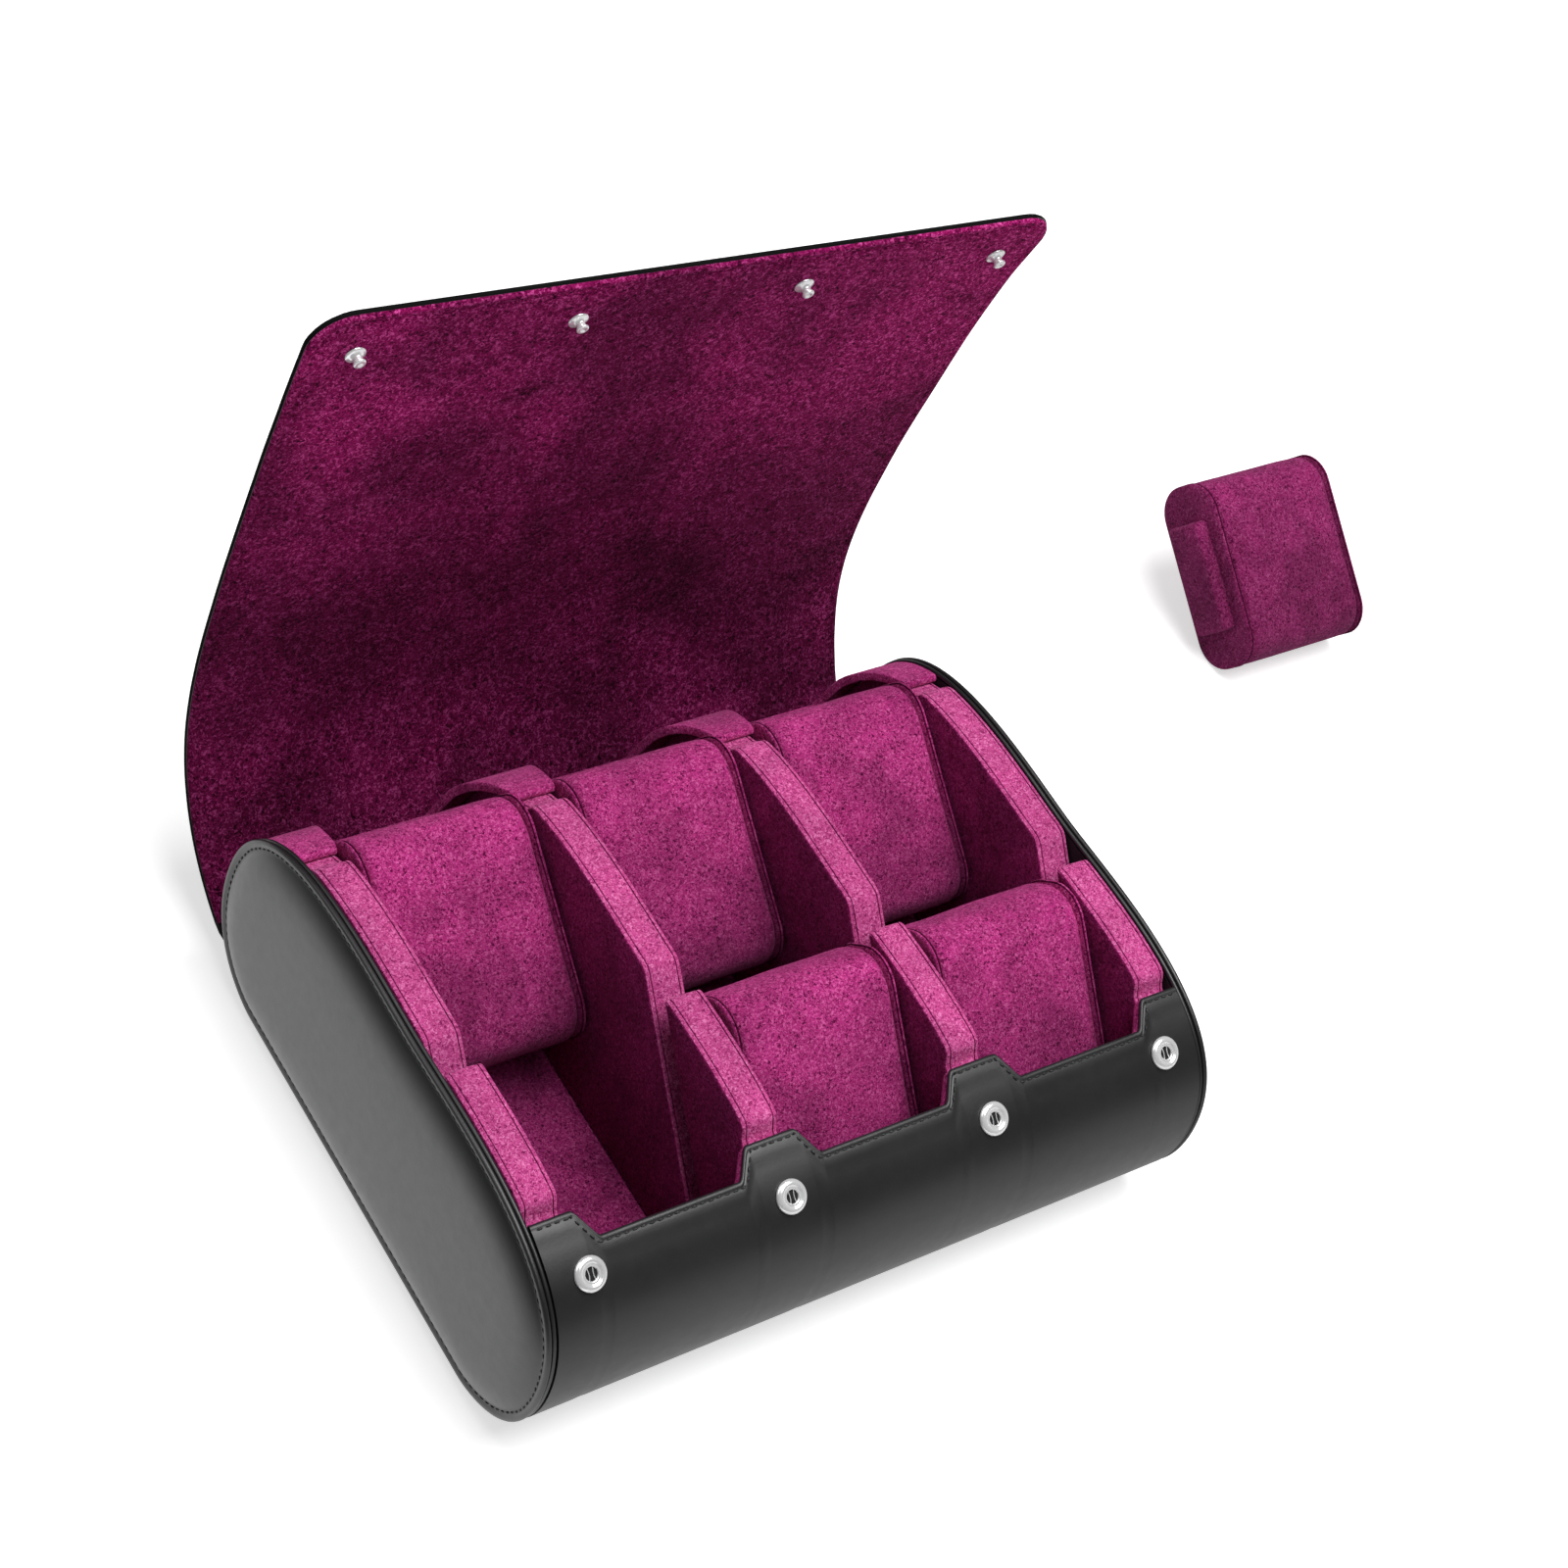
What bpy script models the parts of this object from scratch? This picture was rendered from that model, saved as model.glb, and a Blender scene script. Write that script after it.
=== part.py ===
# Watch travel case: an oval hard case with a flap lid, two rows of slots and six cushions.
# Metres. X runs along the case, Y to the back, Z up; the origin is the middle of the flat base.
import math

import bpy
import bmesh
from mathutils import Vector

# Case shell
caseLength = 0.240
caseDepth = 0.1908
caseHeight = 0.0784
baseDepth = 0.132
deepestHeight = 0.0346
footRound = 0.0040
shoulderRise = 0.0096
crownFlat = 0.028
clearance = 0.0003
wrapThickness = 0.0016
boardThickness = 0.0017
liningThickness = 0.0010
capThickness = 0.0012
capDome = 0.0012
weltRadius = 0.0007

# Front wall's rim: tabs stand in front of the dividers, with low runs between them
tabSetback = 0.0638
lowRunSetback = 0.0716
tabTopHalf = 0.0086
tabRootHalf = 0.0138
endTabTop = 0.0168
endTabRoot = 0.0220

# Rear wall
rearWallThickness = 0.0028
rearWallDrop = 0.0062
rearLowRunDrop = 0.0344
rearTabRootHalf = 0.0087
rearEndTabRoot = 0.0176
cutMargin = 0.010

# Dividers
panelThickness = 0.0126
endPanelThickness = 0.0124
panelSlope = math.radians(44)
rearPanelFront = -0.0020
frontPanelBack = -0.0130
rearTipHeight = 0.0050
frontTipWidth = 0.0100
panelEdgeRadius = 0.0009

# Flap lid: its outer face in the middle, from the base's rear edge to the free edge, and how
# far the lid's left side stands behind that line (its right side stands as far in front)
lidCurve = [
    (0.0660, 0.0000), (0.0780, 0.0032), (0.0900, 0.0078), (0.1020, 0.0148), (0.1115, 0.0230),
    (0.1188, 0.0320), (0.1250, 0.0425), (0.1298, 0.0545), (0.1326, 0.0675), (0.1338, 0.0810),
    (0.1339, 0.0950), (0.1333, 0.1090), (0.1325, 0.1230), (0.1313, 0.1370), (0.1299, 0.1510),
    (0.1285, 0.1650), (0.1270, 0.1790), (0.1251, 0.1930), (0.1230, 0.2070), (0.1203, 0.2210),
    (0.1175, 0.2355),
]
lidTwist = [
    (0, 0), (0, 0), (0, 0), (0.0016, 0), (0.0029, 0),
    (0.0036, 0), (0.0038, 0), (0.0036, 0), (0.0034, 0), (0.0034, 0),
    (0.0035, 0), (0.0037, 0), (0.0039, 0), (0.0042, 0), (0.0046, 0),
    (0.0049, -0.0001), (0.0053, -0.0004), (0.0058, -0.0008), (0.0065, -0.0014), (0.0076, -0.0021),
    (0.0090, -0.0030),
]
hingeIndex = 2
lidSideInset = 0.0004
lidCornerRadius = 0.013
lidEdgeWidth = 0.0018
lidLiningThickness = 0.0010

# Snap fasteners
snapInset = 0.0157
socketRadius = 0.0050
socketHole = 0.0020
socketHeight = 0.0015
socketDrop = 0.0104
studRadius = 0.0030
studFromEdge = 0.0165
lidSnapCapRadius = 0.0054

# Cushions
cushionLength = 0.070
cushionDepth = 0.030
cushionPlay = 0.0052
cushionRadius = 0.012
padThickness = 0.0012
padInset = 0.0018
bossLength = 0.041
bossDepth = 0.016
bossFit = 0.0003
rearCushionCentre = (0.0429, 0.0470)
rearCushionTilt = math.radians(33)
frontCushionCentre = (-0.0405, 0.0496)
frontCushionTilt = math.radians(43)
looseCushionPlace = (0.318, 0.107)

# Sizes that follow from the ones above
halfLength = caseLength / 2
rearWallTop = caseHeight - rearWallDrop
rearLowRun = caseHeight - rearLowRunDrop
lidHalfWidth = halfLength - lidSideInset
capInner = halfLength - capThickness
weltCentre = capInner - clearance - weltRadius
shellHalf = weltCentre - weltRadius - clearance
weltInset = weltRadius + 0.0002
endBoardInset = weltInset + weltRadius + clearance
boardOffset = wrapThickness + clearance
liningOffset = boardOffset + boardThickness + clearance
insideOffset = liningOffset + liningThickness
panelOffset = insideOffset + clearance
rearWallOffset = 0.0008
rearWallLow = wrapThickness + 0.0011
rearPanelOffset = rearWallOffset + rearWallThickness + clearance
rearPanelLow = rearWallLow + rearWallThickness + clearance
endPanelInner = shellHalf - endPanelThickness
slotWidth = 2 * (endPanelInner - panelThickness) / 3
dividerX = (slotWidth + panelThickness) / 2
slotX = slotWidth + panelThickness
lidLiningOffset = wrapThickness + clearance
cushionBodyWidth = slotWidth - cushionPlay
bossHalf = slotWidth / 2 - bossFit
padOuter = cushionBodyWidth / 2 + clearance + padThickness


def clearScene():
    for item in list(bpy.data.objects):
        bpy.data.objects.remove(item, do_unlink=True)


def makeMaterial(name, colour, roughness, metallic=0.0):
    material = bpy.data.materials.new(name)
    material.use_nodes = True
    shader = material.node_tree.nodes["Principled BSDF"]
    shader.inputs["Base Color"].default_value = (*colour, 1.0)
    shader.inputs["Roughness"].default_value = roughness
    shader.inputs["Metallic"].default_value = metallic
    material.diffuse_color = (*colour, 1.0)
    return material


def makeCollection(name):
    group = bpy.data.collections.new(name)
    bpy.context.scene.collection.children.link(group)
    return group


def addObject(name, data, group, material=None):
    item = bpy.data.objects.new(name, data)
    if material:
        data.materials.append(material)
    group.objects.link(item)
    return item


def bezier(a, b, c, d, count):
    points = []
    for i in range(count):
        t = i / count
        u = 1 - t
        points.append(tuple(
            u ** 3 * a[k] + 3 * u * u * t * b[k] + 3 * u * t * t * c[k] + t ** 3 * d[k]
            for k in (0, 1)))
    return points


# The case's outline in Y and Z, closed: base, rear, top, front.
def ovalOutline():
    base, deep = baseDepth / 2, caseDepth / 2
    half = [(0.0, 0.0)]
    half += bezier((base, 0), (base + footRound, 0), (deep, footRound), (deep, deepestHeight), 9)
    half += bezier((deep, deepestHeight), (deep, caseHeight + shoulderRise),
                   (crownFlat, caseHeight), (0, caseHeight), 14)
    return half + [(0.0, caseHeight)] + [(-y, z) for y, z in reversed(half[1:])]


def inset(points, distance, closed=True):
    out = []
    count = len(points)
    for i, (y, z) in enumerate(points):
        before = points[i - 1] if closed or i else points[0]
        after = points[(i + 1) % count] if closed or i < count - 1 else points[-1]
        along = Vector((after[0] - before[0], after[1] - before[1])).normalized()
        out.append((y - along.y * distance, z + along.x * distance))
    return out


outline = ovalOutline()
topIndex = outline.index((0.0, caseHeight))


# The points of a line that runs forward, from the place where it passes a depth.
def fromDepth(points, depth):
    for i in range(1, len(points)):
        if points[i][0] <= -depth:
            a, b = points[i - 1], points[i]
            t = (-depth - a[0]) / (b[0] - a[0])
            return [(-depth, a[1] + t * (b[1] - a[1]))] + points[i:]
    return points


# From the front rim down the front wall and along the base to its rear edge.
def frontPath(offset, setback):
    ring = inset(outline, offset)
    return fromDepth(ring[topIndex:] + [ring[0], ring[1]], setback)


# From the base's rear edge up the rear wall to a height.
def rearPath(lowOffset, offset, top):
    low, high = inset(outline, lowOffset), inset(outline, offset)
    points = []
    for i in range(1, topIndex):
        t = min(1.0, max(0.0, outline[i][1] / 0.020))
        point = tuple(low[i][k] * (1 - t) + high[i][k] * t for k in (0, 1))
        if point[1] > top:
            a = points[-1]
            s = (top - a[1]) / (point[1] - a[1])
            points.append((a[0] + s * (point[0] - a[0]), top))
            break
        points.append(point)
    return points


def stripSheet(name, path, halfWidth, thickness, group, material):
    mesh = bpy.data.meshes.new(name)
    verts = [(x, y, z) for y, z in path for x in (-halfWidth, halfWidth)]
    faces = [(2 * i, 2 * i + 1, 2 * i + 3, 2 * i + 2) for i in range(len(path) - 1)]
    mesh.from_pydata(verts, [], faces)
    item = addObject(name, mesh, group, material)
    solid = item.modifiers.new("thickness", "SOLIDIFY")
    solid.thickness = thickness
    solid.offset = 1.0
    solid.use_even_offset = True
    return item


def cutAway(item, cutters):
    for cutter in cutters:
        cut = item.modifiers.new("cut " + cutter.name, "BOOLEAN")
        cut.operation = "DIFFERENCE"
        cut.solver = "EXACT"
        cut.object = cutter


# Rings of equal length joined into one closed solid.
def loft(mesh, rings, closeRound=False):
    shape = bmesh.new()
    rows = [[shape.verts.new(point) for point in ring] for ring in rings]
    count = len(rows[0])
    pairs = list(zip(rows, rows[1:])) + ([(rows[-1], rows[0])] if closeRound else [])
    for lower, upper in pairs:
        for i in range(count):
            j = (i + 1) % count
            shape.faces.new((lower[i], lower[j], upper[j], upper[i]))
    if not closeRound:
        shape.faces.new(list(reversed(rows[0])))
        shape.faces.new(rows[-1])
    bmesh.ops.recalc_face_normals(shape, faces=shape.faces)
    shape.to_mesh(mesh)
    shape.free()


def loftObject(name, rings, group, material, closeRound=False):
    mesh = bpy.data.meshes.new(name)
    loft(mesh, rings, closeRound)
    return addObject(name, mesh, group, material)


# A flat plate cut to an outline in Y and Z, from one X to another, with a rounded edge.
def plate(name, points, fromX, toX, group, material, edge=0.0):
    curve = bpy.data.curves.new(name, "CURVE")
    curve.dimensions = "2D"
    curve.fill_mode = "BOTH"
    curve.extrude = abs(toX - fromX) / 2 - edge
    curve.bevel_depth = edge
    curve.bevel_resolution = 1
    curve.offset = -edge
    spline = curve.splines.new("POLY")
    spline.points.add(len(points) - 1)
    for slot, (y, z) in zip(spline.points, points):
        slot.co = (y, z, 0, 1)
    spline.use_cyclic_u = True
    item = addObject(name, curve, group, material)
    item.rotation_euler = (math.pi / 2, 0, math.pi / 2)
    item.location = ((fromX + toX) / 2, 0, 0)
    return item


def prism(name, floorPlan, direction, low, high, group):
    rings = []
    for level in (low, high):
        if direction == "Z":
            rings.append([(x, y, level) for x, y in floorPlan])
        else:
            rings.append([(x, level, z) for x, z in floorPlan])
    cutter = loftObject(name, rings, group, None)
    cutter.hide_render = True
    cutter.display_type = "WIRE"
    return cutter


# Edges of the low runs between the tabs, from the left end to the right end.
def lowRuns(rootHalf, topHalf, endRoot, endTop):
    rootEdges = [-halfLength + endRoot, -dividerX - rootHalf, -dividerX + rootHalf,
                 dividerX - rootHalf, dividerX + rootHalf, halfLength - endRoot]
    topEdges = [-halfLength + endTop, -dividerX - topHalf, -dividerX + topHalf,
                dividerX - topHalf, dividerX + topHalf, halfLength - endTop]
    return [(rootEdges[i], rootEdges[i + 1], topEdges[i], topEdges[i + 1]) for i in (0, 2, 4)]


def buildShell(group, cutterGroup, leather, board, suede):
    frontCuts, rearCuts = [], []
    reach = lowRunSetback - tabSetback
    far = 2.5
    above = caseHeight + cutMargin
    for i, (a, b, c, d) in enumerate(lowRuns(tabRootHalf, tabTopHalf, endTabRoot, endTabTop)):
        plan = [(a, -lowRunSetback), (b, -lowRunSetback),
                (b + (d - b) * far, -lowRunSetback + reach * far),
                (a + (c - a) * far, -lowRunSetback + reach * far)]
        frontCuts.append(prism("front_low_run_%d" % (i + 1), plan, "Z", deepestHeight, above,
                               cutterGroup))
    for i, (a, b, c, d) in enumerate(lowRuns(rearTabRootHalf, tabTopHalf, rearEndTabRoot, endTabTop)):
        side = [(a, rearLowRun), (b, rearLowRun), (d, rearWallTop + 0.004), (c, rearWallTop + 0.004)]
        rearCuts.append(prism("rear_low_run_%d" % (i + 1), side, "Y", 0,
                              caseDepth / 2 + cutMargin, cutterGroup))
    tail = inset(lidCurve, 0, closed=False)[1:hingeIndex + 1]
    back = Vector(tail[-2]) - Vector(tail[-1])
    end = Vector(tail[-1]) + back.normalized() * (wrapThickness / 2 + clearance)
    wrapPath = frontPath(0, tabSetback) + tail[:-1] + [tuple(end)]
    wrap = stripSheet("outer_wrap", wrapPath, shellHalf, wrapThickness, group, leather)
    cutAway(wrap, frontCuts)
    inner = stripSheet("shell_board", frontPath(boardOffset, tabSetback), shellHalf,
                       boardThickness, group, board)
    cutAway(inner, frontCuts)
    lining = stripSheet("inner_lining", frontPath(liningOffset, tabSetback), shellHalf,
                        liningThickness, group, suede)
    cutAway(lining, frontCuts)
    wall = stripSheet("rear_wall", rearPath(rearWallLow, rearWallOffset, rearWallTop)[1:], shellHalf,
                      rearWallThickness, group, suede)
    cutAway(wall, rearCuts)


def buildEnds(group, leather, board):
    centre = Vector((0, caseHeight / 2))
    for side, word in ((-1, "left"), (1, "right")):
        rings = []
        for x, scale in ((capInner, 1.0), (halfLength - 0.0005, 1.0), (halfLength, 0.988),
                         (halfLength + capDome * 0.35, 0.93), (halfLength + capDome * 0.8, 0.72),
                         (halfLength + capDome, 0.40)):
            ring = [centre + (Vector(point) - centre) * scale for point in outline]
            rings.append([(side * x, point.x, point.y) for point in ring])
        loftObject(word + "_end_cap", rings, group, leather)
        plate(word + "_end_board", inset(outline, endBoardInset), side * (shellHalf + clearance),
              side * (capInner - clearance), group, board)
        curve = bpy.data.curves.new(word + "_welt", "CURVE")
        curve.dimensions = "3D"
        curve.bevel_depth = weltRadius
        curve.bevel_resolution = 2
        spline = curve.splines.new("POLY")
        ring = inset(outline, weltInset)
        spline.points.add(len(ring) - 1)
        for slot, (y, z) in zip(spline.points, ring):
            slot.co = (side * weltCentre, y, z, 1)
        spline.use_cyclic_u = True
        addObject(word + "_welt", curve, group, leather)


# The depth of the dividers' slanted edge at a height, and its height at a depth.
def slantDepth(start, z):
    return start - (caseHeight - clearance - z) / math.tan(panelSlope)


def slantHeight(start, y):
    return caseHeight - clearance - (start - y) * math.tan(panelSlope)


# A divider's outline in the rear row: it follows the rear wall and ends in a slanted front.
def rearPanelOutline():
    inside = inset(outline, panelOffset)
    rear = rearPath(rearPanelLow, rearPanelOffset, rearWallTop - 0.0015)
    rim = [point for point in inset(outline, clearance)[:topIndex + 1]
           if point[1] > rearWallTop + 0.0008 and 0 < point[0] < rear[-1][0]]
    floor = insideOffset + clearance
    base = [(0.0, floor)]
    for y, z in reversed(inside[topIndex:]):
        if y < -0.001 and slantHeight(rearPanelFront, y) > z + rearTipHeight:
            base.insert(0, (y, z))
        elif y < -0.001:
            break
    points = [(base[0][0], slantHeight(rearPanelFront, base[0][0]))] + base
    points += [(baseDepth / 2 - 0.001, floor)]
    points += [point for point in rear if point[1] > floor + 0.0004]
    points += rim + [(rearPanelFront, caseHeight - clearance)]
    return points


# A divider's outline in the front row: a wedge on the front wall with a slanted back.
def frontPanelOutline():
    edge = tabSetback - 0.0034
    wall = []
    for y, z in fromDepth(inset(outline, panelOffset)[topIndex:], edge):
        if slantDepth(frontPanelBack, z) - y < frontTipWidth:
            break
        wall.append((y, z))
    rimLine = inset(outline, clearance)[topIndex:]
    rim = [point for point in rimLine if -edge < point[0] < frontPanelBack - 0.002]
    rim.append((-edge, fromDepth(rimLine, edge)[0][1]))
    lowest = wall[-1][1]
    return ([(frontPanelBack, caseHeight - clearance)] + rim + wall
            + [(slantDepth(frontPanelBack, lowest), lowest)])


def buildPanels(group, suede):
    rear, front = rearPanelOutline(), frontPanelOutline()
    half = panelThickness / 2
    spans = (("left_panel", -shellHalf, -endPanelInner),
             ("left_divider", -dividerX - half, -dividerX + half),
             ("right_divider", dividerX - half, dividerX + half),
             ("right_panel", endPanelInner, shellHalf))
    for word, fromX, toX in spans:
        plate("rear_" + word, rear, fromX, toX, group, suede, panelEdgeRadius)
        plate("front_" + word, front, fromX, toX, group, suede, panelEdgeRadius)


def roundedSection(length, depth, radius, steps=5):
    points = []
    for cu, cn, start in ((1, 1, 0), (-1, 1, 1), (-1, -1, 2), (1, -1, 3)):
        for i in range(steps + 1):
            angle = math.pi / 2 * (start + i / steps)
            points.append((cu * (length / 2 - radius) + radius * math.cos(angle),
                           cn * (depth / 2 - radius) + radius * math.sin(angle)))
    return points


def placeSection(points, x, centre, tilt):
    along = Vector((math.cos(tilt), math.sin(tilt)))
    normal = Vector((-math.sin(tilt), math.cos(tilt)))
    out = []
    for u, n in points:
        spot = Vector(centre[1:]) + along * u + normal * n
        out.append((centre[0] + x, spot.x, spot.y))
    return out


def buildCushion(name, centre, tilt, group, suede):
    half = cushionBodyWidth / 2
    rings = []
    for x, shrink in ((-half, 0.0016), (-half + 0.0008, 0.0004), (-half + 0.0024, 0.0),
                      (half - 0.0024, 0.0), (half - 0.0008, 0.0004), (half, 0.0016)):
        section = roundedSection(cushionLength - 2 * shrink, cushionDepth - 2 * shrink,
                                 cushionRadius - shrink)
        rings.append(placeSection(section, x, centre, tilt))
    loftObject(name, rings, group, suede)
    inner = half + clearance
    pad = roundedSection(cushionLength - 2 * padInset, cushionDepth - 2 * padInset,
                         cushionRadius - padInset)
    boss = roundedSection(bossLength, bossDepth, 0.0015)
    for side, word in ((-1, "_left_pad"), (1, "_right_pad")):
        rings = [placeSection(shape, side * x, centre, tilt) for shape, x in
                 ((pad, inner), (pad, padOuter), (boss, padOuter), (boss, bossHalf))]
        loftObject(name + word, rings, group, suede)


def buildCushions(group, suede):
    for word, x in (("left", -slotX), ("middle", 0.0), ("right", slotX)):
        buildCushion("cushion_rear_" + word, (x, *rearCushionCentre), rearCushionTilt, group, suede)
    for word, x in (("middle", 0.0), ("right", slotX)):
        buildCushion("cushion_front_" + word, (x, *frontCushionCentre), frontCushionTilt,
                     group, suede)
    # the sixth cushion is out of its slot and stands on its lower edge
    drop = ((cushionLength / 2 - cushionRadius) * math.sin(rearCushionTilt)
            + (cushionDepth / 2 - cushionRadius) * math.cos(rearCushionTilt) + cushionRadius)
    buildCushion("cushion_loose", (looseCushionPlace[0], looseCushionPlace[1], drop),
                 rearCushionTilt, group, suede)


# Turned rings round an axis, from (radius, height) steps.
def turned(profile, spot, axis, steps=24):
    turn = Vector((0, 0, 1)).rotation_difference(axis).to_matrix()
    rings = []
    for radius, height in profile:
        rings.append([tuple(Vector(spot) + turn @ Vector((
            radius * math.cos(2 * math.pi * i / steps),
            radius * math.sin(2 * math.pi * i / steps), height))) for i in range(steps)])
    return rings


# Lid rows: the outer face's point, the direction to the inside, the half width and the twist.
def lidRows():
    path, twists = lidCurve[hingeIndex:], lidTwist[hingeIndex:]
    rows = []
    lengths = [0.0]
    for a, b in zip(path, path[1:]):
        lengths.append(lengths[-1] + math.dist(a, b))
    total = lengths[-1]
    stops = [s for s in lengths if s < total - lidCornerRadius - 0.001]
    stops += [total - lidCornerRadius * (1 - math.sin(math.pi / 2 * i / 7)) for i in range(8)]
    for s in stops:
        i = max(k for k in range(len(lengths) - 1) if lengths[k] <= s + 1e-9)
        a, b = Vector(path[i]), Vector(path[i + 1])
        t = (s - lengths[i]) / (lengths[i + 1] - lengths[i])
        before = Vector(path[max(i - 1, 0)])
        after = Vector(path[min(i + 2, len(path) - 1)])
        along = ((b - a).normalized() * 2 + (after - before).normalized()).normalized()
        depth = max(0.0, s - (total - lidCornerRadius))
        trim = lidCornerRadius - math.sqrt(max(0.0, lidCornerRadius ** 2 - depth ** 2))
        rows.append((s, a.lerp(b, t), Vector((-along.y, along.x)), lidHalfWidth - trim * 0.98,
                     Vector(twists[i]).lerp(Vector(twists[i + 1]), t)))
    return rows, total


# A point of the lid, x from its middle and h inside its outer face.
def lidPoint(row, x, h):
    s, spot, normal, half, twist = row
    place = spot + normal * h - twist * (x / lidHalfWidth)
    return (x, place.x, place.y)


# Seat of a snap on the lid: its point and the direction square to the leather there.
def lidSeat(rows, distance, x, h):
    i = min(range(1, len(rows) - 1), key=lambda k: abs(rows[k][0] - distance))
    along = Vector(lidPoint(rows[i + 1], x, h)) - Vector(lidPoint(rows[i - 1], x, h))
    twist = rows[i][4]
    across = Vector((lidHalfWidth, -twist.x, -twist.y))
    return Vector(lidPoint(rows[i], x, h)), across.cross(along).normalized()


def buildLid(group, leather, suede, chrome):
    rows, total = lidRows()
    high = lidLiningOffset + lidLiningThickness
    rimStart = total - lidEdgeWidth * 1.6
    first = rows[0]
    forward = Vector((first[2].y, -first[2].x))
    rings = []

    def moved(row, distance, wider=0.0):
        return (row[0], row[1] + Vector((row[2].y, -row[2].x)) * distance, row[2], row[3] + wider,
                row[4])

    def ring(row, outer, pocket, rim):
        half = row[3]
        edge = half - lidEdgeWidth
        levels = ((-half, outer), (half, outer), (half, rim), (edge, rim), (edge, pocket),
                  (-edge, pocket), (-edge, rim), (-half, rim))
        return [lidPoint(row, x, h) for x, h in levels]

    # rounded end on the hinge axis
    mid = wrapThickness / 2
    for step in (0.96, 0.75, 0.4):
        width = mid * math.sqrt(1 - step * step)
        rings.append(ring(moved(first, -mid * step), mid - width, mid + width, mid + width))
    start = moved(first, 0.003)
    rings.append(ring(first, 0, wrapThickness, wrapThickness))
    rings.append(ring(moved(first, 0.0029), 0, wrapThickness, wrapThickness))
    rings.append(ring(start, 0, wrapThickness, high))
    closed = False
    for row in rows[1:]:
        if row[0] > rimStart and not closed:
            rings.append(ring(moved(row, -0.0002, 0.0002), 0, wrapThickness, high))
            closed = True
        rings.append(ring(row, 0, high if closed else wrapThickness, high))
    loftObject("lid_leather", rings, group, leather)

    rings = []
    gap = lidEdgeWidth + clearance
    for row in [moved(start, clearance)] + rows[1:]:
        if row[0] > rimStart - 0.0004:
            break
        edge = row[3] - gap
        rings.append([lidPoint(row, x, h) for x, h in
                      ((-edge, lidLiningOffset), (edge, lidLiningOffset), (edge, high), (-edge, high))])
    loftObject("lid_lining", rings, group, suede)

    stud = ((studRadius, 0), (studRadius, 0.0005), (studRadius * 0.75, 0.0008),
            (studRadius * 0.48, 0.0013), (studRadius * 0.45, 0.0023), (studRadius * 0.61, 0.0029),
            (studRadius * 0.56, 0.0034), (studRadius * 0.25, 0.0037))
    dome = ((lidSnapCapRadius, 0), (lidSnapCapRadius, 0.0004), (lidSnapCapRadius * 0.85, 0.0011),
            (lidSnapCapRadius * 0.5, 0.0016), (lidSnapCapRadius * 0.15, 0.0018))
    for i, x in enumerate(snapSpots()):
        for name, profile, h, side in (("lid_snap_stud", stud, high, 1), ("lid_snap_cap", dome, 0, -1)):
            spot, axis = lidSeat(rows, total - studFromEdge, x, h)
            axis *= side
            loftObject("%s_%d" % (name, i + 1), turned(profile, spot + axis * clearance, axis),
                       group, chrome)


def snapSpots():
    return (-halfLength + snapInset, -dividerX, dividerX, halfLength - snapInset)


def buildSockets(group, chrome):
    front = outline[topIndex:]
    height = caseHeight - socketDrop
    a = max(k for k in range(len(front) - 1) if front[k][1] > height)
    b = a + 1
    t = (height - front[a][1]) / (front[b][1] - front[a][1])
    spot = Vector(front[a]).lerp(Vector(front[b]), t)
    along = (Vector(front[b]) - Vector(front[a])).normalized()
    out = Vector((along.y, -along.x))
    places = [(x, spot.x + out.x * clearance, spot.y + out.y * clearance) for x in snapSpots()]
    profile = ((socketHole, 0), (socketRadius, 0), (socketRadius, 0.0005),
               (socketRadius * 0.9, socketHeight * 0.8), (socketRadius * 0.72, socketHeight),
               (socketRadius * 0.55, socketHeight * 0.85), (socketHole * 1.08, socketHeight * 0.85),
               (socketHole, socketHeight * 0.6))
    for i, place in enumerate(places):
        loftObject("front_snap_socket_%d" % (i + 1), turned(profile, place, Vector((0, out.x, out.y))),
                   group, chrome, True)


def main():
    clearScene()
    group = makeCollection("watch_travel_case")
    cutterGroup = makeCollection("cutters")
    cutterGroup.hide_render = True
    leather = makeMaterial("black_leather", (0.012, 0.012, 0.013), 0.42)
    board = makeMaterial("black_board", (0.015, 0.015, 0.015), 0.75)
    suede = makeMaterial("magenta_suede", (0.40, 0.025, 0.17), 0.92)
    chrome = makeMaterial("snap_chrome", (0.83, 0.83, 0.84), 0.16, 1.0)
    buildShell(group, cutterGroup, leather, board, suede)
    buildEnds(group, leather, board)
    buildPanels(group, suede)
    buildSockets(group, chrome)
    buildLid(group, leather, suede, chrome)
    buildCushions(group, suede)


main()
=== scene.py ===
import bisect
import math
import random

import bmesh
import bpy
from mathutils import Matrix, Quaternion, Vector, noise


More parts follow.
